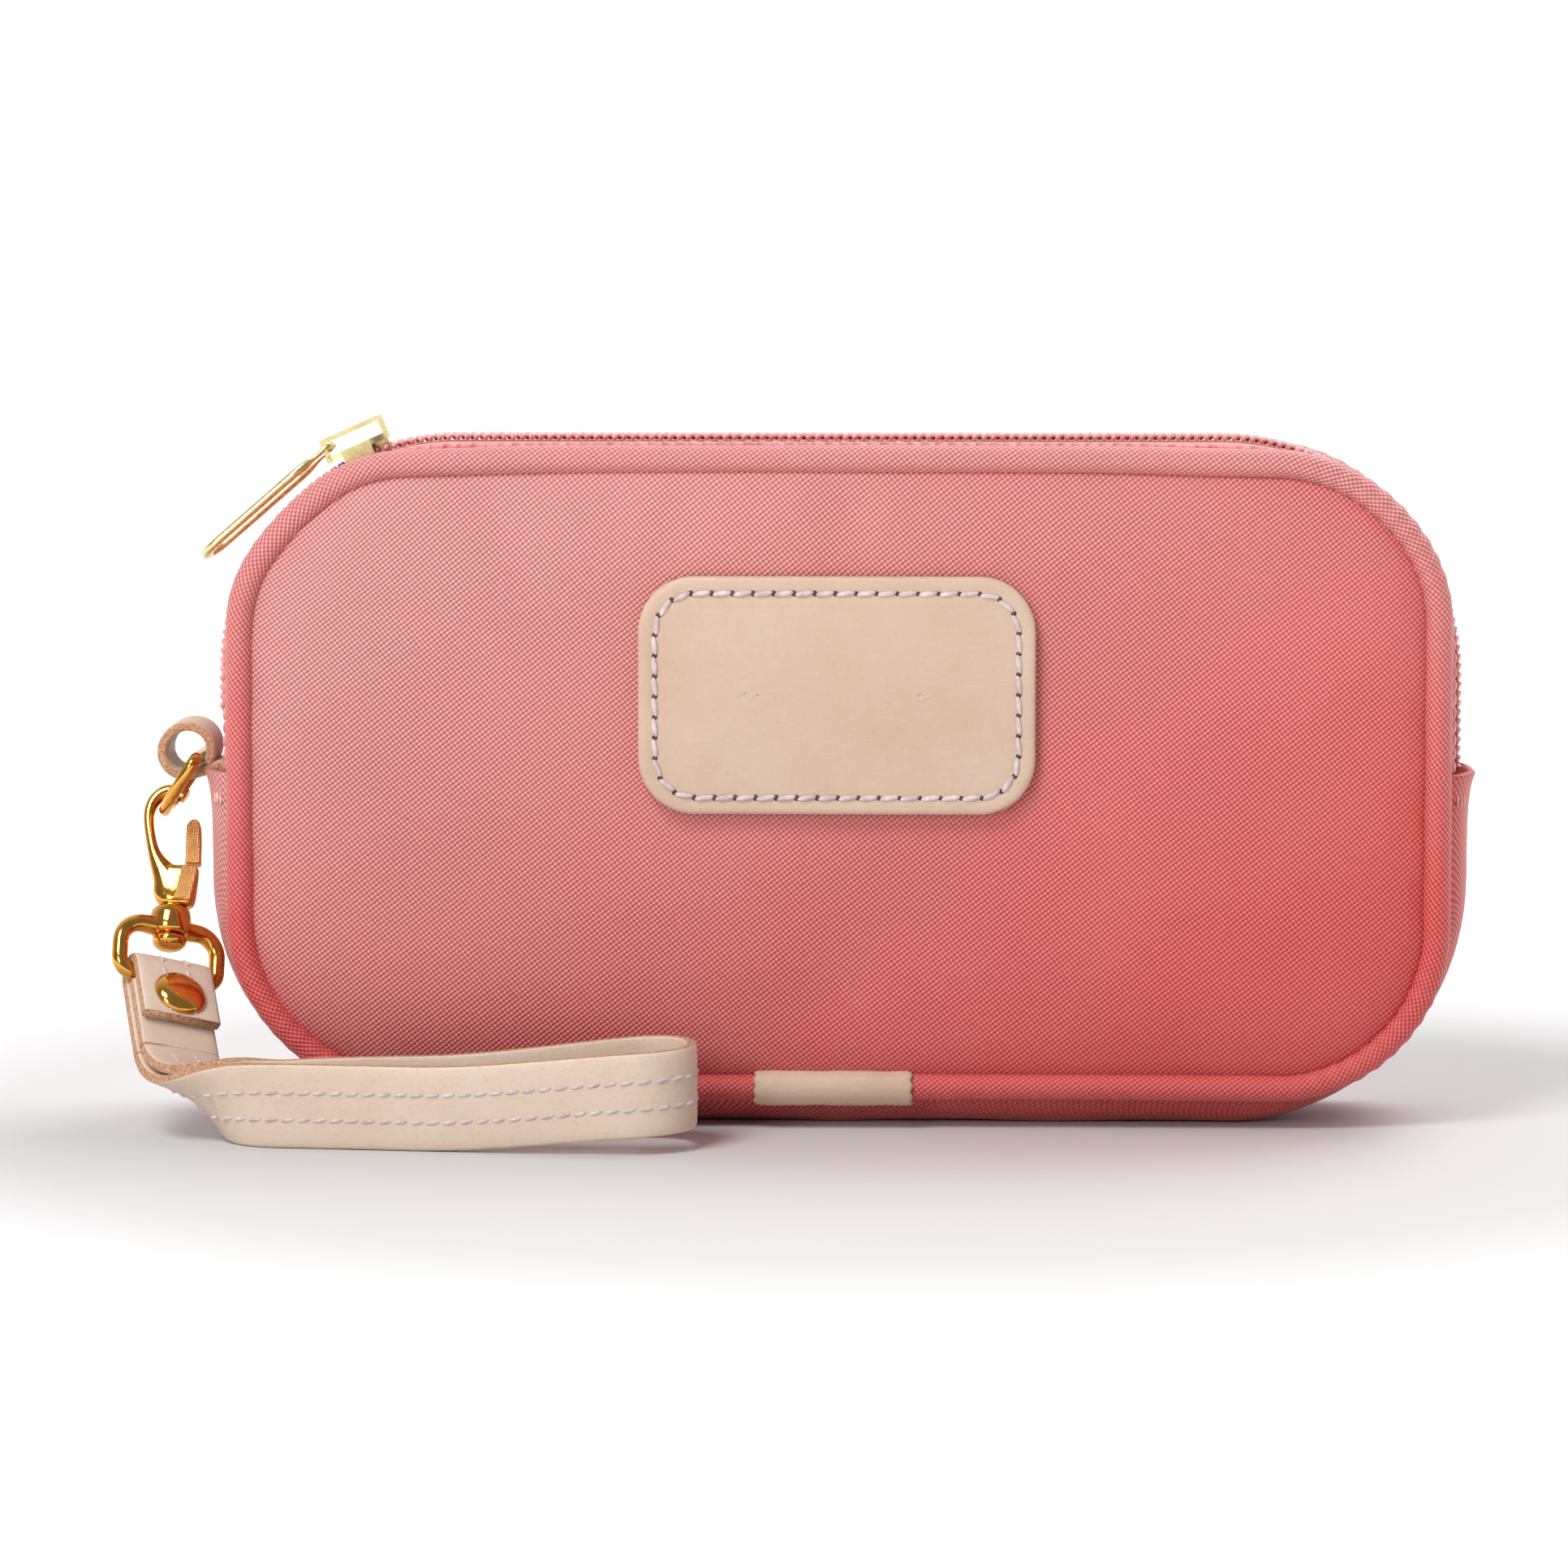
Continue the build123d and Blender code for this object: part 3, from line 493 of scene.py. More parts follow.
@dataclass(frozen=True)
class ZipCloth:
    """Knitted zip tape: fine ribs along its length."""

    name: str = "zip_cloth"
    tint: Tuple[float, ...] = (224, 156, 152)
    dark: Tuple[float, ...] = (196, 96, 96)

    def make(self) -> bpy.types.Material:
        """Ribs are a sine wave across the tape, broken by a shorter wave along it."""
        mix = Recipe(self.name)
        axes = mix.add("SeparateXYZ", i_0=mix.place("UV", (1, 1, 1)))
        ribs = mix.math("SINE", mix.math("MULTIPLY", axes.outputs[1], TURN / 0.55))
        loops = mix.math("SINE", mix.math("MULTIPLY", axes.outputs[0], TURN / 0.5))
        knit = mix.math("MULTIPLY", ribs, mix.math("MULTIPLY_ADD", loops, 0.4))
        share = mix.span(knit, -0.7, 0.9)
        fuzz = mix.noise(mix.place("UV", (1, 1, 1)), 4.0)
        colour = mix.blend(share, paint(*self.dark), paint(*self.tint))
        colour = mix.blend(mix.span(fuzz, 0.3, 0.8, 0, 0.3), colour, paint(240, 190, 184))
        return mix.done(Base_Color=colour, Roughness=0.72, Normal=mix.bump(share, 0.8, 0.1),
                        Sheen_Weight=0.35, Sheen_Tint=paint(255, 226, 222))


@dataclass(frozen=True)
class Filament:
    """Moulded nylon of the zip's coil, and the sewing thread."""

    name: str
    tint: Tuple[float, ...]
    shade: Tuple[float, ...]
    rough: float = 0.42
    ply: float = 0.35

    def make(self) -> bpy.types.Material:
        """Fine slanting strands, a wave on the object's own place, and cloudy colour."""
        mix = Recipe(self.name)
        where = mix.place("Object", (1, 1, 1))
        strand = mix.add("TexWave", i_Vector=where, i_Scale=1 / self.ply, i_Distortion=1.2,
                         bands_direction="DIAGONAL").outputs[1]
        cloud = mix.noise(where, 0.7)
        colour = mix.blend(mix.span(cloud, 0.3, 0.7), paint(*self.shade), paint(*self.tint))
        colour = mix.blend(mix.span(strand, 0, 0.5, 0.25, 0), colour, paint(*self.shade))
        return mix.done(Base_Color=colour, Roughness=self.rough, Sheen_Weight=0.2,
                        Normal=mix.bump(strand, 0.4, 0.05), Specular_IOR_Level=0.5)


@dataclass(frozen=True)
class Leather:
    """Vegetable-tanned leather: clouded tan, fine grain, and darker fibrous cut edges."""

    name: str = "tanned_leather"
    tint: Tuple[float, ...] = (206, 180, 160)
    warm: Tuple[float, ...] = (190, 154, 128)
    rough: float = 0.5
    edge: bool = False

    def make(self) -> bpy.types.Material:
        """Grain is a cell pattern over cloudy noise; scratches are stretched noise.

        Returns:
            The finished material.
        """
        mix = Recipe(self.name)
        where = mix.place("Object", (1, 1, 1))
        cloud = mix.noise(where, 0.05, 4.0, 0.6)
        spots = mix.noise(where, 0.9, 3.0)
        cells = mix.add("TexVoronoi", i_Vector=where, i_Scale=1.9).outputs[0]
        streak = mix.noise(mix.place("Object", (0.25, 0.25, 2.4)), 1.0, 3.0)
        colour = mix.blend(mix.span(cloud, 0.3, 0.75, 0, 0.6), paint(*self.tint), paint(*self.warm))
        colour = mix.blend(mix.span(spots, 0.55, 0.8, 0, 0.25), colour, paint(190, 146, 112))
        colour = mix.blend(mix.span(streak, 0.58, 0.78, 0, 0.16), colour, paint(242, 222, 202))
        if self.edge:
            fibre = mix.noise(mix.place("Object", (2.2, 2.2, 2.2)), 1.0, 5.0, 0.7)
            colour = mix.blend(mix.span(fibre, 0.38, 0.62), paint(150, 104, 72), paint(208, 164, 128))
        height = mix.math("MULTIPLY_ADD", cells, 0.6)
        mix.tree.links.new(spots, height.node.inputs[2])
        relief = mix.bump(height, 0.5, 0.26 if self.edge else 0.12)
        rough = mix.span(spots, 0.3, 0.7, self.rough - 0.06, self.rough + 0.1)
        return mix.done(Base_Color=colour, Roughness=rough, Normal=relief, Sheen_Weight=0.08,
                        Specular_IOR_Level=0.45, Subsurface_Weight=0.04,
                        Subsurface_Scale=0.001)


@dataclass(frozen=True)
class PlatedMetal:
    """Plated metal: polished, or brushed with a fine diagonal hatch."""

    name: str
    tint: Tuple[float, ...]
    rough: float = 0.12
    hatch: float = 0.0

    def make(self) -> bpy.types.Material:
        """Tiny dents and cloudy gloss; the hatch is two crossed sine waves."""
        mix = Recipe(self.name)
        where = mix.place("Object", (1, 1, 1))
        cloud = mix.noise(where, 0.6, 3.0)
        dents = mix.noise(where, 2.5, 2.0)
        darker = tuple(0.82 * c for c in self.tint)
        colour = mix.blend(mix.span(cloud, 0.35, 0.7, 0, 0.5), paint(*self.tint), paint(*darker))
        rough = mix.span(dents, 0.3, 0.75, self.rough * 0.7, self.rough * 1.5)
        relief = mix.bump(dents, 0.12, 0.04)
        if self.hatch:
            axes = mix.add("SeparateXYZ", i_0=mix.place("Object", (1, 1, 1)))
            rise = mix.math("ADD", axes.outputs[0], axes.outputs[2])
            cross = mix.math("SUBTRACT", axes.outputs[0], axes.outputs[2])
            a = mix.math("SINE", mix.math("MULTIPLY", rise, TURN / self.hatch))
            b = mix.math("SINE", mix.math("MULTIPLY", cross, TURN / self.hatch))
            relief = mix.bump(mix.math("MULTIPLY", a, b), 0.6, 0.1, relief)
        return mix.done(Base_Color=colour, Metallic=1.0, Roughness=rough, Normal=relief)


@dataclass(frozen=True)
class LiningCloth:
    """Thin plain-woven lining."""

    name: str = "lining_cloth"

    def make(self) -> bpy.types.Material:
        """Fine threads as crossed sine waves on the object's own place."""
        mix = Recipe(self.name)
        axes = mix.add("SeparateXYZ", i_0=mix.place("Object", (1, 1, 1)))
        a = mix.math("SINE", mix.math("MULTIPLY", axes.outputs[0], TURN / 0.5))
        b = mix.math("SINE", mix.math("MULTIPLY", axes.outputs[2], TURN / 0.5))
        share = mix.span(mix.math("MULTIPLY", a, b), -1, 1)
        colour = mix.blend(share, paint(176, 92, 90), paint(214, 132, 126))
        return mix.done(Base_Color=colour, Roughness=0.7, Normal=mix.bump(share, 0.5, 0.08),
                        Sheen_Weight=0.2)


@dataclass(frozen=True)
class Plain:
    """A studio surface with faint cloudy colour that gives out light far from the middle."""

    name: str
    tint: Tuple[float, ...]
    rough: float = 0.7
    glow: Tuple[float, float] = (140.0, 420.0)

    def make(self) -> bpy.types.Material:
        """Nearly one colour, broken by faint noise, with a glow from one distance to another."""
        mix = Recipe(self.name)
        where = mix.place("Object", (1, 1, 1))
        cloud = mix.noise(where, 0.008)
        dim = tuple(0.985 * c for c in self.tint)
        colour = mix.blend(cloud, paint(*self.tint), paint(*dim))
        away = mix.add("VectorMath", operation="LENGTH", i_0=where).outputs["Value"]
        glow = mix.span(away, *self.glow)
        return mix.done(Base_Color=colour, Roughness=self.rough, Emission_Strength=glow,
                        Emission_Color=paint(255, 255, 255), Specular_IOR_Level=0.1)


class Wardrobe:
    """Every finish of the wallet, made once."""

    def __init__(self) -> None:
        """Make the finishes."""
        self.canvas = CoatedCanvas().make()
        # The piping's painted sheen pales it with height only, standing in for light falling on its upper
        # side.
        self.piping = CoatedCanvas("piping_canvas", fade=(0.0, 50.0, 125.0), bloom=0.05).make()
        self.zip_cloth = ZipCloth().make()
        self.coil = Filament("coil_nylon", (240, 190, 186), (214, 128, 126), 0.36, 0.5).make()
        self.thread = Filament("linen_thread", (232, 218, 216), (190, 168, 172), 0.7, 0.22).make()
        self.coil_dark = Filament("braid_nylon", (232, 160, 156), (200, 96, 96), 0.5, 0.5).make()
        self.pale_thread = Filament("pale_thread", (250, 214, 210), (226, 150, 148), 0.6, 0.2).make()
        # Painted shade: dark brown marks stand in for the shade inside the needle holes.
        self.hole_shade = Filament("needle_hole", (104, 72, 60), (66, 44, 38), 0.9, 0.3).make()
        self.cord = Filament("piping_cord", (236, 226, 214), (196, 184, 168), 0.8, 0.6).make()
        self.leather = Leather().make()
        self.leather_edge = Leather("leather_edge", edge=True, rough=0.8).make()
        self.strap_leather = Leather("strap_leather", (220, 200, 182), (204, 176, 152)).make()
        self.gold = PlatedMetal("gold_plate", (228, 166, 78), 0.11).make()
        self.gate_gold = PlatedMetal("gate_plate", (248, 190, 122), 0.34, hatch=0.5).make()
        self.pale_gold = PlatedMetal("pale_gold_plate", (232, 216, 158), 0.26).make()
        self.steel = PlatedMetal("spring_plate", (190, 190, 194), 0.25).make()
        self.lining = LiningCloth().make()


# ---------------------------------------------------------------------- pouch
def lived_in(points: Array) -> Array:
    """Pull the seams near the corners inwards, as a used pouch has them.

    Near each corner a point moves along the diagonal by a bell curve of its distance
    from the corner, times how far it is from the middle plane.

    Args:
        points: Places in millimetres.

    Returns:
        The moved places.
    """
    moved = points.copy()
    x, y, z = points[..., 0], points[..., 1], points[..., 2]
    seam = smooth((np.abs(y) - 6) / 9)
    for cx, cz, reach, pull in ((-90, 101, 15, 1.9), (-90, 13, 15, 0.9), (92, 102, 12, 0.4)):
        share = pull * seam * bell(np.hypot(x - cx, z - cz) / reach)
        moved[..., 0] -= np.sign(cx) * share * 0.707
        moved[..., 2] -= np.sign(cz - 50) * share * 0.707
    arch = seam * 0.7 * bell((x + 8) / 62) - seam * 0.5 * smooth((np.abs(x) - 40) / 30)
    moved[..., 2] += arch * smooth((z - 80) / 26)
    return moved


@dataclass
class Outline:
    """The pouch's line seen from the front, for each distance from the middle plane."""

    seam_half: float = 96.1
    seam_low: float = 7.0
    seam_high: float = 107.4
    seam_round: float = 26.0
    out_half: float = 102.0
    out_high: float = 112.5
    out_round: float = 40.0
    drop: float = 0.6
    seam_y: float = 14.2
    level_y: float = 5.0

    def bulge(self, y: Array) -> Array:
        """Quarter ellipse from 0 at the seam to 1 at the level middle."""
        past = np.maximum(np.abs(y) - self.level_y, 0) / (self.seam_y - self.level_y)
        return np.sqrt(np.maximum(1 - past**2, 0))

    def line(self, y: Array, inset: float, band: Optional[Band], ends: float, steps: int
             ) -> Tuple[Array, Array]:
        """Points and outward directions along the rounded rectangle at each y.

        Straight runs are shared evenly and corners are arcs of equal angle, so the
        columns at every y keep step with one another.

        Args:
            y: Distances from the middle plane.
            inset: How far inwards.
            band: A part of the line, or None for all of it.
            ends: Height where a part starts and ends.
            steps: Points on each corner.

        Returns:
            Points and directions, each of shape line, y, 3.
        """
        out = self.bulge(y)
        half = self.seam_half + out * (self.out_half - self.seam_half) - inset
        low = np.maximum(self.seam_low - out * (self.seam_low + self.drop), 0) + inset
        high = self.seam_high + out * (self.out_high - self.seam_high) - inset
        r = self.seam_round + out * (self.out_round - self.seam_round) - inset
        return self.walk(y, half, low, high, r, band, ends, steps)

    def walk(self, y: Array, half: Array, low: Array, high: Array, r: Array,
             band: Optional[Band], ends: float, steps: int) -> Tuple[Array, Array]:
        """Walk a rounded rectangle from the right side; see line."""
        sign = 1.0 if band is not Band.BOTTOM else -1.0
        turn = np.linspace(0, np.pi / 2, steps)[:, None]
        corner_z = np.where(sign > 0, high - r, low + r)[None]
        start = np.broadcast_to(np.asarray(ends, float), corner_z.shape)
        if band is None:
            start = (low + high)[None] / 2
        run = np.linspace(0, 1, max(steps, 12), endpoint=False)[:, None]
        zero, one = np.zeros_like(run * corner_z), np.ones_like(run * corner_z)
        side = (half[None] * one, start + (corner_z - start) * run, one, zero)
        c, s = np.cos(turn) + 0 * r, np.sin(turn) + 0 * r
        bend = ((half - r) + r * c, corner_z + sign * r * s, c, sign * s)
        flat = np.linspace(0, 1, 5 * steps)[1:-1, None]
        edge_z = np.where(sign > 0, high, low)[None]
        flat_one = np.ones_like(flat * edge_z)
        top = ((half - r) * (1 - 2 * flat), edge_z * flat_one, 0 * flat_one, sign * flat_one)
        right = [np.concatenate(pair) for pair in zip(side, bend)]
        left = [f * a[::-1] for f, a in zip((-1, 1, -1, 1), right)]
        x, z, nx, nz = (np.concatenate(three) for three in zip(right, top, left))
        if band is None:
            mirrored = (x[::-1], (low + high)[None] - z[::-1], nx[::-1], -nz[::-1])
            x, z, nx, nz = (np.concatenate([a, b[1:-1]]) for a, b in
                            zip((x, z, nx, nz), mirrored))
        plane = np.broadcast_to(y[None], x.shape)
        return np.stack([x, plane, z], -1), np.stack([nx, 0 * x, nz], -1)


@dataclass
class Pouch:
    """The pouch: two domed panels, two pipings, the lower gusset and the hidden cloth."""

    wardrobe: Wardrobe
    outline: Outline = field(default_factory=Outline)
    pipe_half: float = 96.3
    pipe_low: float = 6.8
    pipe_high: float = 107.6
    pipe_round: float = 26.0
    pipe_y: float = 16.5
    pipe_r: float = 2.25
    cord_r: float = 1.5
    tuck: float = 1.7
    rise: float = 4.6
    plateau: float = 20.0
    fold_z: float = 57.0
    flare: float = 1.3

    def panel(self, face: Face) -> bpy.types.Object:
        """A domed panel on rows across the pouch.

        Each row's half width is that of the rounded rectangle at its height. The dome
        is a quarter ellipse of the distance inside the piping's line, less soft creases
        that hang from the top seam and broad waves across the middle.

        Args:
            face: Front or back.

        Returns:
            The panel.
        """
        half = self.pipe_half - self.tuck
        low, high, r = self.pipe_low + self.tuck, self.pipe_high - self.tuck, self.pipe_round - self.tuck
        bend = np.linspace(0, np.pi / 2, 22)
        rows = np.concatenate([low + r * (1 - np.cos(bend)), np.linspace(low + r, high - r, 58)[1:-1],
                               high - r + r * np.sin(bend)])
        past = np.maximum(np.maximum(low + r - rows, rows - high + r), 0)
        wide = half - r + np.sqrt(np.maximum(r**2 - past**2, 0))
        across = np.sin(np.linspace(-1, 1, 150) * np.pi / 2 * 0.92)
        across = across / across[-1]
        x = wide[:, None] * across[None]
        z = rows[:, None] + 0 * x
        qx = np.abs(x) - (self.pipe_half - self.pipe_round)
        middle = (self.pipe_low + self.pipe_high) / 2
        qz = np.abs(z - middle) - ((self.pipe_high - self.pipe_low) / 2 - self.pipe_round)
        inside = self.pipe_round - np.hypot(np.maximum(qx, 0), np.maximum(qz, 0))
        inside = inside - np.minimum(np.maximum(qx, qz), 0)
        share = np.clip((inside - self.tuck) / (self.plateau - self.tuck), 0, 1)
        dome = self.rise * np.sqrt(1 - (1 - share) ** 2)
        hang = np.maximum(self.pipe_high - z, 0)
        creases = 0 * x
        for place, width, depth, lean, reach in (
                (-57, 6.0, 0.9, 0.35, 24), (-37, 5.0, 0.8, 0.1, 20), (-24, 4.5, 0.8, -0.2, 22),
                (2, 5.0, 1.1, -0.05, 26), (33, 8.0, 0.4, 0.1, 18)):
            creases += depth * bell((x - place - lean * hang) / width) * np.exp(-hang / reach)
        waves = 0.32 * np.sin(x / 27 + z / 17 + 0.6) + 0.2 * np.sin(x / 15 - z / 23 + 2.0)
        waves += 0.55 * bell((x - 4 - (z - 30) * 0.7) / 12) * bell((z - 26) / 16)
        waves -= 0.55 * bell((x + 12 + (z - 22) * 0.8) / 12) * bell((z - 28) / 14)
        settle = smooth(share * 1.1)
        calm = np.where((np.abs(x) < 36) & (np.abs(z - 70.6) < 23), 0.35, 1.0)
        depth = dome - creases * smooth(share * 2.2) - (waves * calm + 0.25) * settle
        fade = smooth((7.0 - inside) / 6.0)
        depth = depth + fade * 0.14 * np.sin(x / 2.1 + z / 2.3) * smooth(np.abs(x) / 60 - 0.6)
        sign = face.value
        points = lived_in(np.stack([x, sign * (self.pipe_y - 0.15 + depth), z], -1))
        uv = np.stack([x * -sign, z], -1)
        name = f"{face.label}_panel_cloth"
        thing = grid(name, points, uv, flip=face is Face.FRONT)
        if face is Face.FRONT:
            turn_out(thing, (0, -1, 0))
        else:
            turn_out(thing, (0, 1, 0))
        thicken(thing, 0.8)
        node = f"{face.label}_panel"
        return finish_piece(thing, self.wardrobe.canvas, "canvas", "bag", [node])

    def piping(self, face: Face) -> bpy.types.Object:
        """Covered piping: a round tube round its cord, puckered at the corners.

        The radius is the piping's own plus short waves where the line turns.

        Args:
            face: Front or back.

        Returns:
            The piping.
        """
        y = np.array([face.value * self.pipe_y])
        one = np.ones(1)
        path, _ = self.outline.walk(y, self.pipe_half * one, self.pipe_low * one,
                                    self.pipe_high * one, self.pipe_round * one, None, 0, 60)
        path = path[:, 0]
        s = arc_length(path)
        path = resample(path, np.linspace(0, s[-1], 900, endpoint=False))
        if np.linalg.norm(path[0] - path[-1]) < 0.2:
            path = path[:-1]
        s = arc_length(path)
        corner = smooth((np.abs(path[:, 0]) - 68) / 14)
        corner = corner * smooth((np.abs(path[:, 2] - 57.2) - 22) / 14)
        right = np.where(path[:, 0] > 0, 1.0, 0.45)
        pucker = 0.05 * corner * right * np.sin(s * TURN / 3.1) + 0.02 * np.sin(s / 9)
        path = path + np.array([0, 0, 1]) * (0.25 * np.sin(s / 31.0))[:, None] * (1 - corner[:, None])
        name = f"{face.label}_piping"
        path = lived_in(path)
        ring = circle(self.pipe_r, 22)
        plane = np.array([0.0, -1.0, 0.0])
        thing = sweep(name, path, plane, ring, True, 1 + pucker)
        orient_tube(thing)
        core = sweep(name + "_core", path, plane, circle(self.cord_r, 12), True, 1 + 0 * pucker)
        orient_tube(core)
        finish_piece(core, self.wardrobe.cord, "cord", "bag", [name + "_cord"])
        return finish_piece(thing, self.wardrobe.piping, "piping", "bag", [name + "_cover"])

    def lower_gusset(self) -> bpy.types.Object:
        """The canvas band under the pouch, its two folded ends flared outwards.

        Returns:
            The gusset.
        """
        y = self.outline.seam_y * np.sin(np.linspace(-1, 1, 37) * np.pi / 2)
        points, away = self.outline.line(y, 0.0, Band.BOTTOM, self.fold_z, 26)
        near = np.maximum(self.fold_z - points[..., 2], 0)
        lift = self.flare * np.exp(-near / 3.0) * self.outline.bulge(y)[None] * (near < 14)
        slack = 0.35 * np.sin(points[..., 0] / 11.0) * self.outline.bulge(y)[None]
        slack = slack * (points[..., 2] < 20)
        points = points + away * (lift - np.abs(slack))[..., None]
        points = lived_in(points)
        points[..., 2] = np.maximum(points[..., 2], 0.02)
        s = arc_length(points[:, 18])
        uv = np.stack(np.broadcast_arrays(s[:, None], y[None] * 1.12), -1)
        thing = grid("lower_gusset_cloth", points, uv)
        turn_out(thing, None)
        thicken(thing, 1.2)
        return finish_piece(thing, self.wardrobe.canvas, "canvas", "bag", ["bottom_gusset"])

    def fold_stitches(self) -> bpy.types.Object:
        """A bar of thread across each folded gusset end, a few short stitches side by side."""
        shape, faces = pill(2.6, 0.5, 0.5)
        spots, turns = [], []
        for side in (1, -1):
            for y in (-12.4, -11.6, -10.8, 10.8, 11.6, 12.4):
                x = self.x_at(np.array([y]))[0] + 0.25
                spots.append((side * x, y, 53.2))
                out = unit(np.array([side * 1.0, 0.35 * np.sign(y), 0]))
                along = unit(np.array([0.0, 0.35, 0.94]))
                across = np.cross(out, along)
                turns.append(np.stack([along, unit(across), out]))
        thing = scatter("fold_stitches", shape, faces, np.array(spots), np.array(turns))
        return finish_piece(thing, self.wardrobe.pale_thread, "zip_tape", "bag")

    def x_at(self, y: Array) -> Array:
        """Half width of the gusset at each y, on its straight sides."""
        out = self.outline.bulge(y)
        return self.outline.seam_half + out * (self.outline.out_half - self.outline.seam_half)

    def hidden(self) -> None:
        """Finish the CAD pieces inside the pouch, which keep their own shapes."""
        for node in ("lining_front", "lining_back", "lining_gusset", "card_pocket"):
            dress(node, self.wardrobe.lining)
        for node in ("front_seam_binding", "back_seam_binding"):
            dress(node, self.wardrobe.lining)

    def make(self) -> None:
        """Build every piece of the pouch."""
        for face in Face:
            self.panel(face)
            self.piping(face)
        self.lower_gusset()
        self.fold_stitches()
        self.hidden()


def dress(node: str, material: bpy.types.Material) -> None:
    """Give a CAD node a finish and leave its shape alone.

    Args:
        node: The node.
        material: Its finish.
    """
    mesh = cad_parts[node].data
    mesh.materials.clear()
    mesh.materials.append(material)
    LOG.info("%s: CAD shape, %s", node, material.name)


def turn_out(thing: bpy.types.Object, towards: Optional[Tuple[float, float, float]]) -> None:
    """Turn a sheet's faces to one side.

    Args:
        thing: An open sheet.
        towards: The way out, or None for away from the pouch's middle.
    """
    mesh = thing.data
    n = len(mesh.polygons)
    normal, centre = np.zeros(n * 3), np.zeros(n * 3)
    mesh.polygons.foreach_get("normal", normal)
    mesh.polygons.foreach_get("center", centre)
    normal, centre = normal.reshape(-1, 3), centre.reshape(-1, 3)
    want = np.array(towards) if towards else centre - np.array([0, 0, 56 * MM])
    if (normal * want).sum() < 0:
        mesh.flip_normals()


def orient_tube(thing: bpy.types.Object) -> None:
    """Turn a closed piece's faces outwards, by the sign of its volume."""
    mesh = thing.data
    mesh.calc_loop_triangles()
    tris = np.zeros(len(mesh.loop_triangles) * 3, int)
    mesh.loop_triangles.foreach_get("vertices", tris)
    co = np.zeros(len(mesh.vertices) * 3)
    mesh.vertices.foreach_get("co", co)
    a, b, c = co.reshape(-1, 3)[tris.reshape(-1, 3)].transpose(1, 0, 2)
    if (a * np.cross(b, c)).sum() < 0:
        mesh.flip_normals()


def slanting(name: str, place: Array, along: Array, out: Array, lean: object,
             bar: Tuple[Array, List[List[int]]]) -> bpy.types.Object:
    """Small bars in a row, each turned from the row's own direction.

    Args:
        name: The piece's name.
        place: Where each bar is.
        along: The row's direction at each.
        out: The direction away from the cloth at each.
        lean: The turn towards the side, in radians, or one for each bar.
        bar: A bar's points and faces.

    Returns:
        The new object.
    """
    slant = along * np.cos(lean) + np.cross(out, along) * np.sin(lean)
    thing = scatter(name, *bar, place, np.stack([slant, np.cross(out, slant), out], 1))
    orient_tube(thing)
    return thing


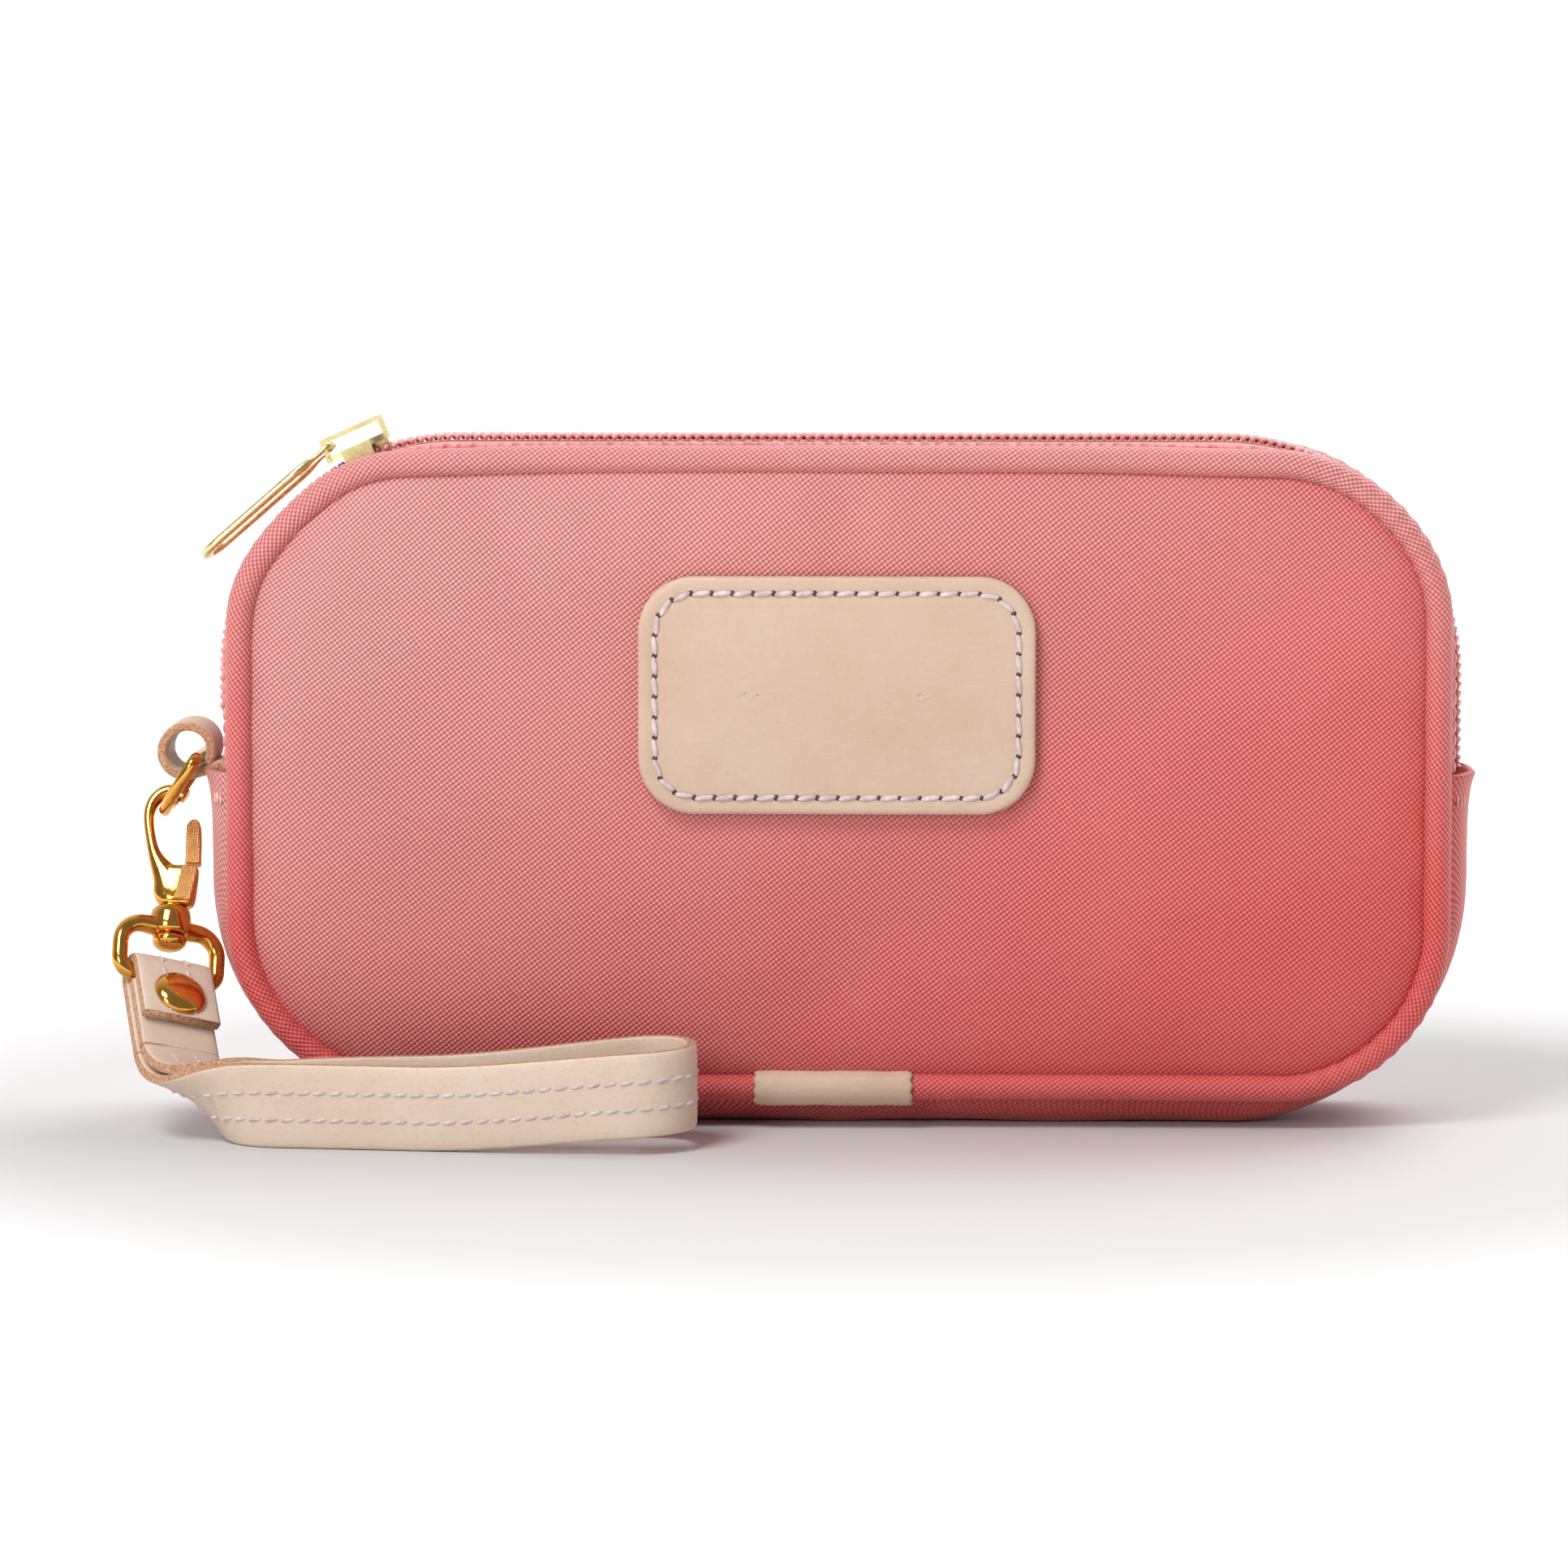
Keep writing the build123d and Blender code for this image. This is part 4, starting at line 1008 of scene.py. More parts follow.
# ------------------------------------------------------------------------ zip
@dataclass
class Zip:
    """The zip over the pouch's top: two tapes, their ribs and stitches, coil, slider and pull."""

    wardrobe: Wardrobe
    outline: Outline = field(default_factory=Outline)
    ply: float = 2.2
    tape_end: float = 50.0
    coil_start: float = 57.6
    coil_left_end: float = 66.4
    tooth_pitch: float = 1.5
    rib_pitch: float = 2.2
    rib_y: float = 10.6
    stitch_y: float = 13.3
    hinge: Tuple[float, float, float] = (-82.7271, 0.0, 109.4653)
    dip: float = 41.0
    twist: float = 8.0
    pull_reach: float = 24.0
    neck_half: float = 2.05
    loop_half: float = 2.95

    def row(self, y: float, inset: float, ends: float, pitch: float, start: float = 0.0
            ) -> Tuple[Array, Array, Array]:
        """Even places along the top band at one y.

        Args:
            y: Distance from the middle plane.
            inset: How far inwards of the gusset's outer line.
            ends: Height of both ends.
            pitch: Spacing.
            start: Where the first place is.

        Returns:
            Places, directions along, and directions out.
        """
        points, away = self.outline.line(np.array([y]), inset, Band.TOP, ends, 40)
        path, out = points[:, 0], away[:, 0]
        s = arc_length(path)
        path = lived_in(path)
        spots = np.arange(start, s[-1], pitch)
        place = resample(path, spots)
        facing = np.stack([np.interp(spots, s, out[:, k]) for k in range(3)], -1)
        lift = np.sqrt(max(1 - self.outline.bulge(np.array([y]))[0] ** 2, 0))
        facing = unit(facing + np.array([0, np.sign(y) * lift * 0.9, 0]))
        along = unit(np.gradient(place, axis=0))
        facing = unit(facing - along * (facing * along).sum(-1, keepdims=True))
        return place, along, facing

    def tape(self, face: Face) -> bpy.types.Object:
        """One tape: the gusset's line moved in by a ply, with a soft ridge near the piping."""
        y = face.value * np.linspace(0.7, self.outline.seam_y, 24)
        points, away = self.outline.line(y, self.ply, Band.TOP, self.tape_end, 40)
        ridge = 0.35 * bell((np.abs(y) - self.rib_y) / 1.3) - 0.35 * bell((np.abs(y) - 8.2) / 0.9)
        points = lived_in(points + away * ridge[None, :, None])
        s = arc_length(points[:, 0])
        uv = np.stack(np.broadcast_arrays(s[:, None], np.abs(y)[None]), -1)
        name = f"{face.label}_zip_tape"
        thing = grid(name, points, uv)
        turn_out(thing, None)
        thicken(thing, 1.0)
        node = f"zip_tape_{face.label}"
        return finish_piece(thing, self.wardrobe.zip_cloth, "zip_tape", "bag", [node])

    def ribs(self, face: Face) -> bpy.types.Object:
        """A braided row beside the piping: short slanting lumps, one for each pitch."""
        row = self.row(face.value * self.rib_y, self.ply - 0.55, self.tape_end + 8, self.rib_pitch)
        lean = np.radians(28) * face.value
        thing = slanting(f"{face.label}_zip_braid", *row, lean, pill(2.5, 1.5, 0.95))
        return finish_piece(thing, self.wardrobe.coil_dark, "zip_tape", "bag")

    def zigzag(self, face: Face) -> bpy.types.Object:
        """A zig-zag seam where the tape meets the piping: stitches leaning by turns."""
        row = self.row(face.value * self.stitch_y, self.ply - 1.1, self.tape_end + 8, 1.15)
        lean = np.radians(42) * np.where(np.arange(len(row[0])) % 2, 1, -1)[:, None]
        thing = slanting(f"{face.label}_zigzag_seam", *row, lean, pill(1.6, 0.36, 0.36))
        return finish_piece(thing, self.wardrobe.pale_thread, "zip_tape", "bag")

    def teeth(self, face: Face) -> bpy.types.Object:
        """One side of the coil: rounded loops across the middle, half a pitch from the other."""
        start = 0.0 if face is Face.FRONT else self.tooth_pitch / 2
        place, along, out = self.row(face.value * 1.3, 1.4, self.coil_start, self.tooth_pitch, start)
        keep = (place[:, 0] > 0) | (place[:, 2] > self.coil_left_end)
        place, along, out = place[keep], along[keep], out[keep]
        shape, faces = pill(3.3, 1.05, 1.35, 5, 8)
        across = np.cross(out, along)
        turns = np.stack([across, -along, out], 1)
        name = f"{face.label}_zip_teeth"
        thing = scatter(name, shape, faces, place, turns)
        orient_tube(thing)
        node = f"zip_coil_{face.label}"
        return finish_piece(thing, self.wardrobe.coil, "zip_coil", "bag", [node])

    def pull(self) -> bpy.types.Object:
        """The pull: a rounded rod bent into a long loop that narrows to its cross bar.

        In the pull's own plane the half width eases from the neck's to the loop's with
        distance from the bar, and the far end is a half circle.

        Returns:
            The pull.
        """
        dip, twist = np.radians(self.dip), np.radians(self.twist)
        down = np.array([-np.cos(dip), 0, -np.sin(dip)])
        flat = np.array([np.sin(dip) * np.sin(twist), np.cos(twist), -np.cos(dip) * np.sin(twist)])
        x = np.linspace(0.6, self.pull_reach, 60)
        half = self.neck_half + (self.loop_half - self.neck_half) * smooth((x - 3.2) / 4.5)
        bend = np.linspace(-np.pi / 2, np.pi / 2, 24)[1:-1]
        tip = self.loop_half * np.stack([np.cos(bend), -np.sin(bend)], -1) + [self.pull_reach, 0]
        side = np.stack([x, half], -1)
        bar = np.stack([0 * np.linspace(-1.5, 1.5, 9), np.linspace(-1.5, 1.5, 9)], -1)
        line = np.concatenate([side, tip, side[::-1] * [1, -1], bar])
        path = np.array(self.hinge) + line[:, :1] * down + line[:, 1:] * flat
        thin = 0.55 + 0.45 * smooth((line[:, 0] - 2.6) / 3.4)
        face = np.cross(down, flat)
        thing = sweep("zip_pull", path, face, soft_box(1.95, 1.3, 3.4, 16), True, thin)
        orient_tube(thing)
        return finish_piece(thing, self.wardrobe.pale_gold, "pale_gold", "pull", ["pull_tab"])

    def make(self) -> None:
        """Build every piece of the zip."""
        for face in Face:
            self.tape(face)
            self.ribs(face)
            self.zigzag(face)
            self.teeth(face)
        self.pull()
        for node in ("slider_body", "slider_bridge"):
            dress(node, self.wardrobe.pale_gold)


# ----------------------------------------------------------------- name patch
@dataclass
class NamePatch:
    """The blank leather patch, its needle holes and its stitches."""

    wardrobe: Wardrobe
    width: float = 63.5
    height: float = 38.1
    round: float = 9.0
    centre_z: float = 70.6
    back_y: float = -20.1
    front_y: float = -23.2
    seam: float = 2.7
    pitch: float = 3.3

    def ring(self, inset: float, count: int = 240) -> Array:
        """Points of the patch's outline moved inwards, evenly spaced, as x and z."""
        r = max(self.round - inset, 0.05)
        a, b = self.width / 2 - inset - r, self.height / 2 - inset - r
        t = np.linspace(0, np.pi / 2, 24)
        arc = np.stack([a + r * np.cos(t), b + r * np.sin(t)], -1)
        line = np.concatenate([arc, arc[::-1] * [-1, 1], -arc, arc[::-1] * [1, -1], arc[:1]])
        s = arc_length(line)
        return resample(line, np.linspace(0, s[-1], count, endpoint=False))

    def plate(self) -> bpy.types.Object:
        """Rings from the back edge over a rounded rim to the middle of the face.

        The face sinks a little along the seam and swells inside it.

        Returns:
            The patch.
        """
        steps = [(0.25, self.back_y), (0.0, self.back_y - 0.3), (0.0, self.front_y + 0.75),
                 (0.12, self.front_y + 0.35), (0.42, self.front_y + 0.1), (0.9, self.front_y)]
        steps += [(d, self.front_y + 0.16 * float(bell((d - self.seam) / 0.7))
                   - 0.15 * float(smooth((d - 4) / 6))) for d in (1.5, 2.0, 2.4, 2.7, 3.0, 3.5, 4.3,
                                                                  6, 8, 10.5, 13, 15.5, 18, 18.9)]
        rings = [self.ring(d) for d, _ in steps]
        sway = [0.12 * np.sin(r[:, 0] / 9) * np.cos(r[:, 1] / 7) for r in rings]
        points = np.stack([np.stack([r[:, 0], y + w, r[:, 1] + self.centre_z], -1)
                           for r, w, (_, y) in zip(rings, sway, steps)])
        thing = grid("name_patch_leather", points, None, False, True, caps=True)
        orient_tube(thing)
        piece = finish_piece(thing, self.wardrobe.leather, "leather", "bag", ["name_patch"])
        mark(thing, self.wardrobe.leather_edge, np.arange(len(thing.data.polygons)) < 2 * 240)
        return piece

    def seam_points(self) -> Tuple[Array, Array]:
        """Needle hole places round the seam and the direction to the next."""
        line = self.ring(self.seam, 600)
        s = arc_length(np.concatenate([line, line[:1]]))
        count = int(round(s[-1] / self.pitch))
        spots = resample(np.concatenate([line, line[:1]]), np.arange(count) * s[-1] / count)
        y = np.full(count, self.front_y + 0.1)
        holes = np.stack([spots[:, 0], y, spots[:, 1] + self.centre_z], -1)
        return holes, unit(np.roll(holes, -1, 0) - holes)

    def stitches(self) -> None:
        """A twisted stitch from each hole to the next, and a dark mark at each hole between two: painted
        shade standing in for the hole's depth.
        """
        holes, along = self.seam_points()
        out = np.broadcast_to(np.array([0.0, -1.0, 0.0]), along.shape)
        middle = (holes + np.roll(holes, -1, 0)) / 2 + out * 0.12
        thing = slanting("patch_stitches", middle, along, out, np.radians(9),
                         pill(3.0, 0.92, 0.66, 6, 8))
        finish_piece(thing, self.wardrobe.thread, "leather", "bag")
        # The dark marks at the holes are painted shade for the holes' depth.
        thing = slanting("patch_needle_holes", holes + out * -0.05, along, out, 0.0,
                         pill(0.8, 1.05, 0.4, 5, 8))
        finish_piece(thing, self.wardrobe.hole_shade, "leather", "bag")

    def make(self) -> None:
        """Build the patch."""
        self.plate()
        self.stitches()


def mark(thing: bpy.types.Object, material: bpy.types.Material, faces: Array) -> None:
    """Give some faces of a piece a second finish.

    Args:
        thing: The piece.
        material: The second finish.
        faces: True for each face that takes it.
    """
    thing.data.materials.append(material)
    slot = len(thing.data.materials) - 1
    numbers = np.zeros(len(thing.data.polygons), int)
    thing.data.polygons.foreach_get("material_index", numbers)
    numbers[faces] = slot
    thing.data.polygons.foreach_set("material_index", numbers)


@dataclass
class PipingWrap:
    """A strip of leather round the piping's join, front and back."""

    wardrobe: Wardrobe
    length: float = 25.4
    centre_x: float = -0.6
    radius: float = 3.05
    pipe_y: float = 16.5
    pipe_z: float = 6.8

    def wrap(self, face: Face) -> bpy.types.Object:
        """An open tube: part of a circle round the piping, carried along x, ends eased in."""
        x = np.linspace(-1, 1, 60) * self.length / 2
        turn = np.radians(np.linspace(112, 336, 40))
        end = 1 - 0.06 * smooth((np.abs(x) - self.length / 2 + 0.7) / 0.7)
        r = self.radius * end + 0.05 * np.sin(x / 1.9) + 0.03 * np.sin(x / 0.8 + 1)
        y = self.pipe_y + -np.cos(turn)[None] * r[:, None]
        z = self.pipe_z + np.sin(turn)[None] * r[:, None]
        edge = 0.18 * np.sin(turn * 9)[None] * (np.abs(x) > self.length / 2 - 0.1)[:, None]
        points = np.stack([self.centre_x + x[:, None] + edge + 0 * y, face.value * y, z], -1)
        name = "front_piping_wrap" if face is Face.FRONT else "rear_piping_wrap"
        thing = grid(name, points)
        mesh = thing.data
        middle = np.array([0, face.value * self.pipe_y, self.pipe_z]) * MM
        normal, centre = np.zeros(len(mesh.polygons) * 3), np.zeros(len(mesh.polygons) * 3)
        mesh.polygons.foreach_get("normal", normal)
        mesh.polygons.foreach_get("center", centre)
        out = (centre.reshape(-1, 3) - middle) * [0, 1, 1]
        if (out * normal.reshape(-1, 3)).sum() < 0:
            mesh.flip_normals()
        thicken(thing, 0.75)
        node = "piping_wrap" if face is Face.FRONT else "back_piping_wrap"
        return finish_piece(thing, self.wardrobe.leather, "leather", "bag", [node])

    def make(self) -> None:
        """Build both wraps."""
        for face in Face:
            self.wrap(face)


# -------------------------------------------------------------- ring and clasp
AXIS_UP = np.array([0.0, 0.46947, 0.88295])  # up the clasp's stem
AXIS_FRONT = np.array([0.0, -0.88295, 0.46947])
AXIS_RIGHT = np.array([1.0, 0.0, 0.0])
CLASP_TOP = np.array([-108.6, 1.4, 52.9])
EYE_ACROSS = np.array([0.86603, 0.44147, -0.23474])


def on_clasp(u: Array, v: Array, n: Array) -> Array:
    """Places right of, up along and in front of the clasp's stem, in the shared frame."""
    return (CLASP_TOP + np.asarray(u)[..., None] * AXIS_RIGHT + np.asarray(v)[..., None] * AXIS_UP
            + np.asarray(n)[..., None] * AXIS_FRONT)


@dataclass
class SideRing:
    """The leather tab rolled round the ring's bar, and the D ring."""

    wardrobe: Wardrobe
    roll_x: float = -106.2
    roll_z: float = 60.0
    width: float = 12.6
    thickness: float = 1.75

    def roll(self) -> bpy.types.Object:
        """A ribbon from inside the pouch, out under the zip and round the bar.

        The line is a straight tail, a turn, and then a circle that closes on itself.

        Returns:
            The tab.
        """
        tail = np.array([(-99.6, 47.5), (-99.6, 52.0), (-99.7, 56.0), (-100.6, 57.9), (-102.6, 56.9)])
        turn = np.radians(np.linspace(-78, -395, 60))
        r = 4.05 + 0.12 * np.sin(turn * 2)
        round_part = np.stack([self.roll_x + r * np.cos(turn), self.roll_z + r * np.sin(turn)], -1)
        line = np.concatenate([tail, round_part])
        line = resample(line, np.linspace(0, arc_length(line)[-1], 90))
        for _ in range(3):
            line[1:-1] = (line[:-2] + 2 * line[1:-1] + line[2:]) / 4
        path = np.stack([line[:, 0], 0 * line[:, 0], line[:, 1]], -1)
        along = unit(np.gradient(path, axis=0))
        face = np.cross(along, [0.0, 1.0, 0.0])
        section = soft_box(self.width, self.thickness, 7.0, 36)
        thing = sweep("ring_tab_leather", path, face, section)
        orient_tube(thing)
        finish_piece(thing, self.wardrobe.leather, "leather", "bag", ["ring_tab"])
        mark_sides(thing, self.wardrobe.leather_edge, section, len(path))
        return thing

    def make(self) -> None:
        """Build the tab and finish the ring."""
        self.roll()
        dress("d_ring", self.wardrobe.gold)


def mark_sides(thing: bpy.types.Object, material: bpy.types.Material, section: Array, rows: int
               ) -> None:
    """Give the cut sides of a ribbon a second finish.

    Args:
        thing: A ribbon made by sweep.
        material: The sides' finish.
        section: Its cross section.
        rows: Points of its line.
    """
    middle = (section + np.roll(section, -1, 0)) / 2
    side = np.abs(middle[:, 0]) > 0.485 * np.ptp(section[:, 0])
    faces = np.concatenate([np.tile(side, rows - 1), [True, True]])
    mark(thing, material, faces)


@dataclass
class Clasp:
    """The swivel snap hook: claw, housing, gate, swivel eye and knob."""

    wardrobe: Wardrobe
    eye_width: float = 17.0
    eye_top: float = -24.4
    eye_low: float = -33.2
    wire: float = 2.6

    def claw(self) -> bpy.types.Object:
        """The claw: an egg-shaped section carried up the limb and over to the nose.

        Its half width and half depth are read off at each stop and eased between.

        Returns:
            The claw.
        """
        stops = np.array([
            (0.30, -20.70, 1.3, 1.5), (0.30, -20.2, 2.5, 1.8), (0.20, -18.8, 3.1, 2.0),
            (-0.1, -17.0, 3.15, 2.05), (-0.95, -15.4, 2.45, 2.0), (-1.9, -14.0, 1.85, 1.85),
            (-2.7, -12.6, 1.35, 1.7), (-3.35, -11.0, 1.02, 1.55), (-3.85, -9.0, 0.9, 1.4),
            (-4.25, -7.0, 0.85, 1.3), (-4.5, -5.2, 0.88, 1.25), (-4.4, -3.4, 0.95, 1.2),
            (-3.85, -1.9, 1.02, 1.2), (-2.75, -0.75, 1.08, 1.2), (-1.35, -0.2, 1.1, 1.2),
            (0.15, -0.3, 1.15, 1.2), (1.4, -1.1, 1.22, 1.2), (2.25, -2.3, 1.28, 1.2),
            (2.7, -3.6, 1.25, 1.15), (2.85, -4.6, 0.95, 1.0), (2.9, -5.1, 0.35, 0.5)])
        s = arc_length(stops[:, :2])
        fine = resample(np.concatenate([stops, stops[:, :1]], 1), s)
        spots = np.linspace(0, s[-1], 110)
        smoothed = np.stack([np.interp(spots, s, fine[:, k]) for k in range(4)], -1)
        for _ in range(14):
            smoothed[1:-1] = (smoothed[:-2] + 2 * smoothed[1:-1] + smoothed[2:]) / 4
        path = on_clasp(smoothed[:, 0], smoothed[:, 1], 0 * smoothed[:, 0])
        ring = soft_box(2, 2, 2.5, 28)
        section = ring[None] * np.stack([smoothed[:, 2], smoothed[:, 3]], -1)[:, None]
        thing = sweep("hook_claw", path, AXIS_FRONT, section)
        orient_tube(thing)
        return finish_piece(thing, self.wardrobe.gold, "gold", "hook", ["hook_body"])

    def block(self, name: str, stops: Array, width: float, depth: float, power: float
              ) -> bpy.types.Object:
        """A rounded block up the stem: stops give right, height, width share and depth share."""
        path = on_clasp(stops[:, 0], stops[:, 1], 0 * stops[:, 0])
        ring = soft_box(width, depth, power, 32)
        section = ring[None] * stops[:, None, 2:4]
        thing = sweep(name, path, AXIS_FRONT, section)
        orient_tube(thing)
        return thing

    def housing(self) -> bpy.types.Object:
        """The block that holds the gate's pin, rounded at both ends."""
        v = np.array([-20.75, -20.65, -20.3, -19.5, -17.5, -15.5, -14.4, -14.05, -13.9, -13.85])
        share = np.array([0.55, 0.72, 0.86, 0.97, 1.0, 1.0, 1.0, 0.93, 0.82, 0.6])
        u = 1.0 + 0.25 * (v + 20.75) / 6.9
        stops = np.stack([u, v, share * (0.9 + 0.1 * (v + 20.75) / 6.9), share], -1)
        thing = self.block("hook_housing", stops, 6.3, 4.1, 4.0)
        return finish_piece(thing, self.wardrobe.gold, "gold", "hook")

    def gate(self) -> bpy.types.Object:
        """The gate: a hatched bar with a sloping tip, from the housing to the claw's nose."""
        v = np.array([-13.35, -13.3, -13.1, -12.0, -10.0, -8.0, -6.9, -6.3, -5.9, -5.65])
        wide = np.array([0.6, 0.9, 1.0, 1.0, 0.99, 0.97, 0.94, 0.85, 0.66, 0.35])
        deep = np.array([0.7, 0.9, 1.0, 1.0, 1.0, 0.98, 0.94, 0.88, 0.78, 0.6])
        u = np.array([3.25, 3.25, 3.25, 3.22, 3.18, 3.12, 3.05, 2.95, 2.8, 2.65])
        thing = self.block("gate_bar", np.stack([u, v, wide, deep], -1), 2.6, 2.5, 4.5)
        return finish_piece(thing, self.wardrobe.gate_gold, "gold", "gate", ["gate"])

    def plate(self) -> bpy.types.Object:
        """A hatched plate on the housing's front that carries on the gate's line."""
        v = np.array([-20.0, -19.95, -19.7, -18.0, -16.0, -14.4, -14.15, -14.1])
        share = np.array([0.5, 0.85, 1.0, 1.0, 1.0, 1.0, 0.85, 0.5])
        path = on_clasp(1.9 + 0.18 * (v + 20), v, 0 * v + 1.75)
        section = soft_box(2.7, 0.9, 5.0, 24)[None] * share[:, None, None]
        thing = sweep("housing_plate", path, AXIS_FRONT, section)
        orient_tube(thing)
        return finish_piece(thing, self.wardrobe.gate_gold, "gold", "hook")

    def eye(self) -> bpy.types.Object:
        """The swivel eye: a round wire bent into a D and thickened towards the collar.

        The line is a rounded rectangle; the wire's size swells with a bell curve of the
        distance from the stem on the upper run.

        Returns:
            The eye.
        """
        half, top, low = self.eye_width / 2, self.eye_top, self.eye_low
        t = np.linspace(0, np.pi / 2, 16)
        shoulder, corner = 3.8, 2.6
        right = np.concatenate([
            np.stack([half - shoulder + shoulder * np.sin(t), top - shoulder + shoulder * np.cos(t)], -1),
            np.stack([half - corner + corner * np.cos(t), low + corner - corner * np.sin(t)], -1)])
        line = np.concatenate([right, right[::-1] * [-1, 1], right[:1]])
        s = arc_length(line)
        line = resample(line, np.linspace(0, s[-1], 150, endpoint=False))
        path = CLASP_TOP + line[:, :1] * EYE_ACROSS + line[:, 1:] * AXIS_UP
        upper = smooth((line[:, 1] - (low + 3)) / (top - low - 3))
        swell = 1 + 0.32 * upper * bell(line[:, 0] / 5.5)
        thing = sweep("swivel_eye_wire", path, np.cross(EYE_ACROSS, AXIS_UP),
                      circle(self.wire / 2, 20), True, swell)
        orient_tube(thing)
        return finish_piece(thing, self.wardrobe.gold, "gold", "clasp", ["swivel_eye"])

    def turned(self, name: str, pairs: Sequence[Tuple[float, float]], body: str,
               nodes: Sequence[str] = ()) -> bpy.types.Object:
        """A part turned about the stem, from pairs of radius and height."""
        thing = lathe(name, CLASP_TOP, AXIS_UP, np.array(pairs))
        orient_tube(thing)
        return finish_piece(thing, self.wardrobe.gold, "gold", body, nodes)

    def make(self) -> None:
        """Build the clasp."""
        self.claw()
        self.housing()
        self.plate()
        self.gate()
        self.eye()
        self.turned("swivel_collar", [
            (1.4, -25.75), (2.5, -25.75), (3.0, -25.55), (3.3, -25.0), (3.38, -24.0), (3.35, -22.6),
            (3.2, -21.6), (2.85, -21.12), (2.2, -21.0), (1.4, -21.0)], "clasp")
        self.turned("swivel_knob", [
            (0.05, -28.25), (1.1, -28.2), (2.0, -27.85), (2.6, -27.25), (2.8, -26.7), (2.75, -26.2),
            (2.4, -25.95), (1.28, -25.9), (1.25, -20.8), (0.05, -20.8)], "hook", ["swivel_stem"])
        dress("gate_pin", self.wardrobe.gold)
        dress("gate_spring", self.wardrobe.steel)


# ---------------------------------------------------------------------- strap
@dataclass
class WristStrap:
    """The stitched leather strap: one length folded double, its ends riveted round the eye."""

    wardrobe: Wardrobe
    width: float = 13.3
    thickness: float = 1.9
    stitch_rows: Tuple[float, float] = (-2.15, 2.15)
    pitch: float = 2.6
    flap: float = 11.1
    layers: float = 16.1
    rivet_down: float = 6.4
    bar: Tuple[float, float, float] = (-108.6, -14.186, 23.586)
    down: Tuple[float, float, float] = (0.20715, -0.74409, -0.63515)
    face: Tuple[float, float, float] = (0.45507, -0.50143, 0.73585)
    offset: float = 2.4
    loop_left: float = -86.0
    loop_right: float = -31.0
    loop_y: float = -37.5
    narrow: float = 2.0
    wide: float = 8.5
    stand: float = 6.75
    lift: float = 3.2

    def side_line(self, side: int) -> Tuple[Array, Array]:
        """One layer between the rivet and the loop: a cubic curve that turns on edge.

        Its four handles are the rivet end, a point 9 mm on, a point 9 mm before the
        loop, and the loop's end. The cross direction eases from the eye's to upright.

        Args:
            side: -1 for the near layer, 1 for the far one.

        Returns:
            Middle points and the directions across the strap.
        """
        bar, down, face = (np.array(v) for v in (self.bar, self.down, self.face))
        start = bar + down * self.layers - face * self.offset / 2
        end = np.array([self.loop_left - 0.1, self.loop_y, self.stand])
        handles = [start, start + down * 9, end - np.array([9, 0, 0]), end]
        t = np.linspace(0, 1, 60)[:, None]
        weights = [(1 - t) ** 3, 3 * t * (1 - t) ** 2, 3 * t**2 * (1 - t), t**3]
        middle = sum(w * h for w, h in zip(weights, handles))
        along = unit(np.gradient(middle, axis=0))
        turn = t * t * (3 - 2 * t)
        across = EYE_ACROSS * (1 - turn) + np.array([0, 0, -1.0]) * turn
        across = unit(across - along * (across * along).sum(-1, keepdims=True))
        out = np.cross(along, across)
        middle = middle + out * (side * ((self.offset / 2) * (1 - turn) + self.narrow * turn))
        reach = self.width / 2 * np.abs(across[:, 2]) + self.thickness / 2 * np.abs(out[:, 2])
        middle[:, 2] += np.maximum(reach + 0.05 - middle[:, 2], 0)
        return middle, across

    def band_line(self) -> Tuple[Array, Array]:
        """The loose part: near layer, the fold at the right, and back along the far layer.

        Returns:
            Middle points and the directions across the strap.
        """
        near, near_across = self.side_line(-1)
        far, far_across = self.side_line(1)
        span = self.loop_right - self.loop_left
        tilt = np.arcsin((self.wide - self.narrow) / span)
        turn = np.linspace(-np.pi / 2 - tilt, np.pi / 2 + tilt, 60)
        fold = np.stack([self.loop_right + self.wide * np.cos(turn),
                         self.loop_y + self.wide * np.sin(turn)], -1)
        run = np.linspace(0, 1, 50)[1:-1, None]
        go = near[-1, :2] + (fold[0] - near[-1, :2]) * run
        back = fold[-1] + (far[-1, :2] - fold[-1]) * run
        flat = np.concatenate([go, fold, back])
        rise = self.lift * smooth((flat[:, 0] + 66) / 46)
        rise = rise + 0.5 * smooth((flat[:, 1] - self.loop_y) / 4)
        loop = np.concatenate([flat, (self.stand + rise)[:, None]], 1)
        upright = np.broadcast_to(np.array([0, 0, -1.0]), loop.shape)
        line = np.concatenate([near, loop, far[::-1]])
        across = np.concatenate([near_across, upright, far_across[::-1]])
        s = arc_length(line)
        spots = np.linspace(0, s[-1], 420)
        line = resample(line, spots)
        across = np.stack([np.interp(spots, s, across[:, k]) for k in range(3)], -1)
        for _ in range(30):
            line[1:-1] = (line[:-2] + 2 * line[1:-1] + line[2:]) / 4
            across[1:-1] = (across[:-2] + 2 * across[1:-1] + across[2:]) / 4
        return line, unit(across)

    def ribbon(self, name: str, line: Array, across: Array, body: str, nodes: Sequence[str]
               ) -> bpy.types.Object:
        """A strip of strap leather with slightly rounded, fibrous sides."""
        along = unit(np.gradient(line, axis=0))
        out = np.cross(along, across)
        section = soft_box(self.width, self.thickness, 9.0, 44)
        thing = sweep(name, line, out, section)
        orient_tube(thing)
        finish_piece(thing, self.wardrobe.strap_leather, "leather", body, nodes)
        mark_sides(thing, self.wardrobe.leather_edge, section, len(line))
        return thing

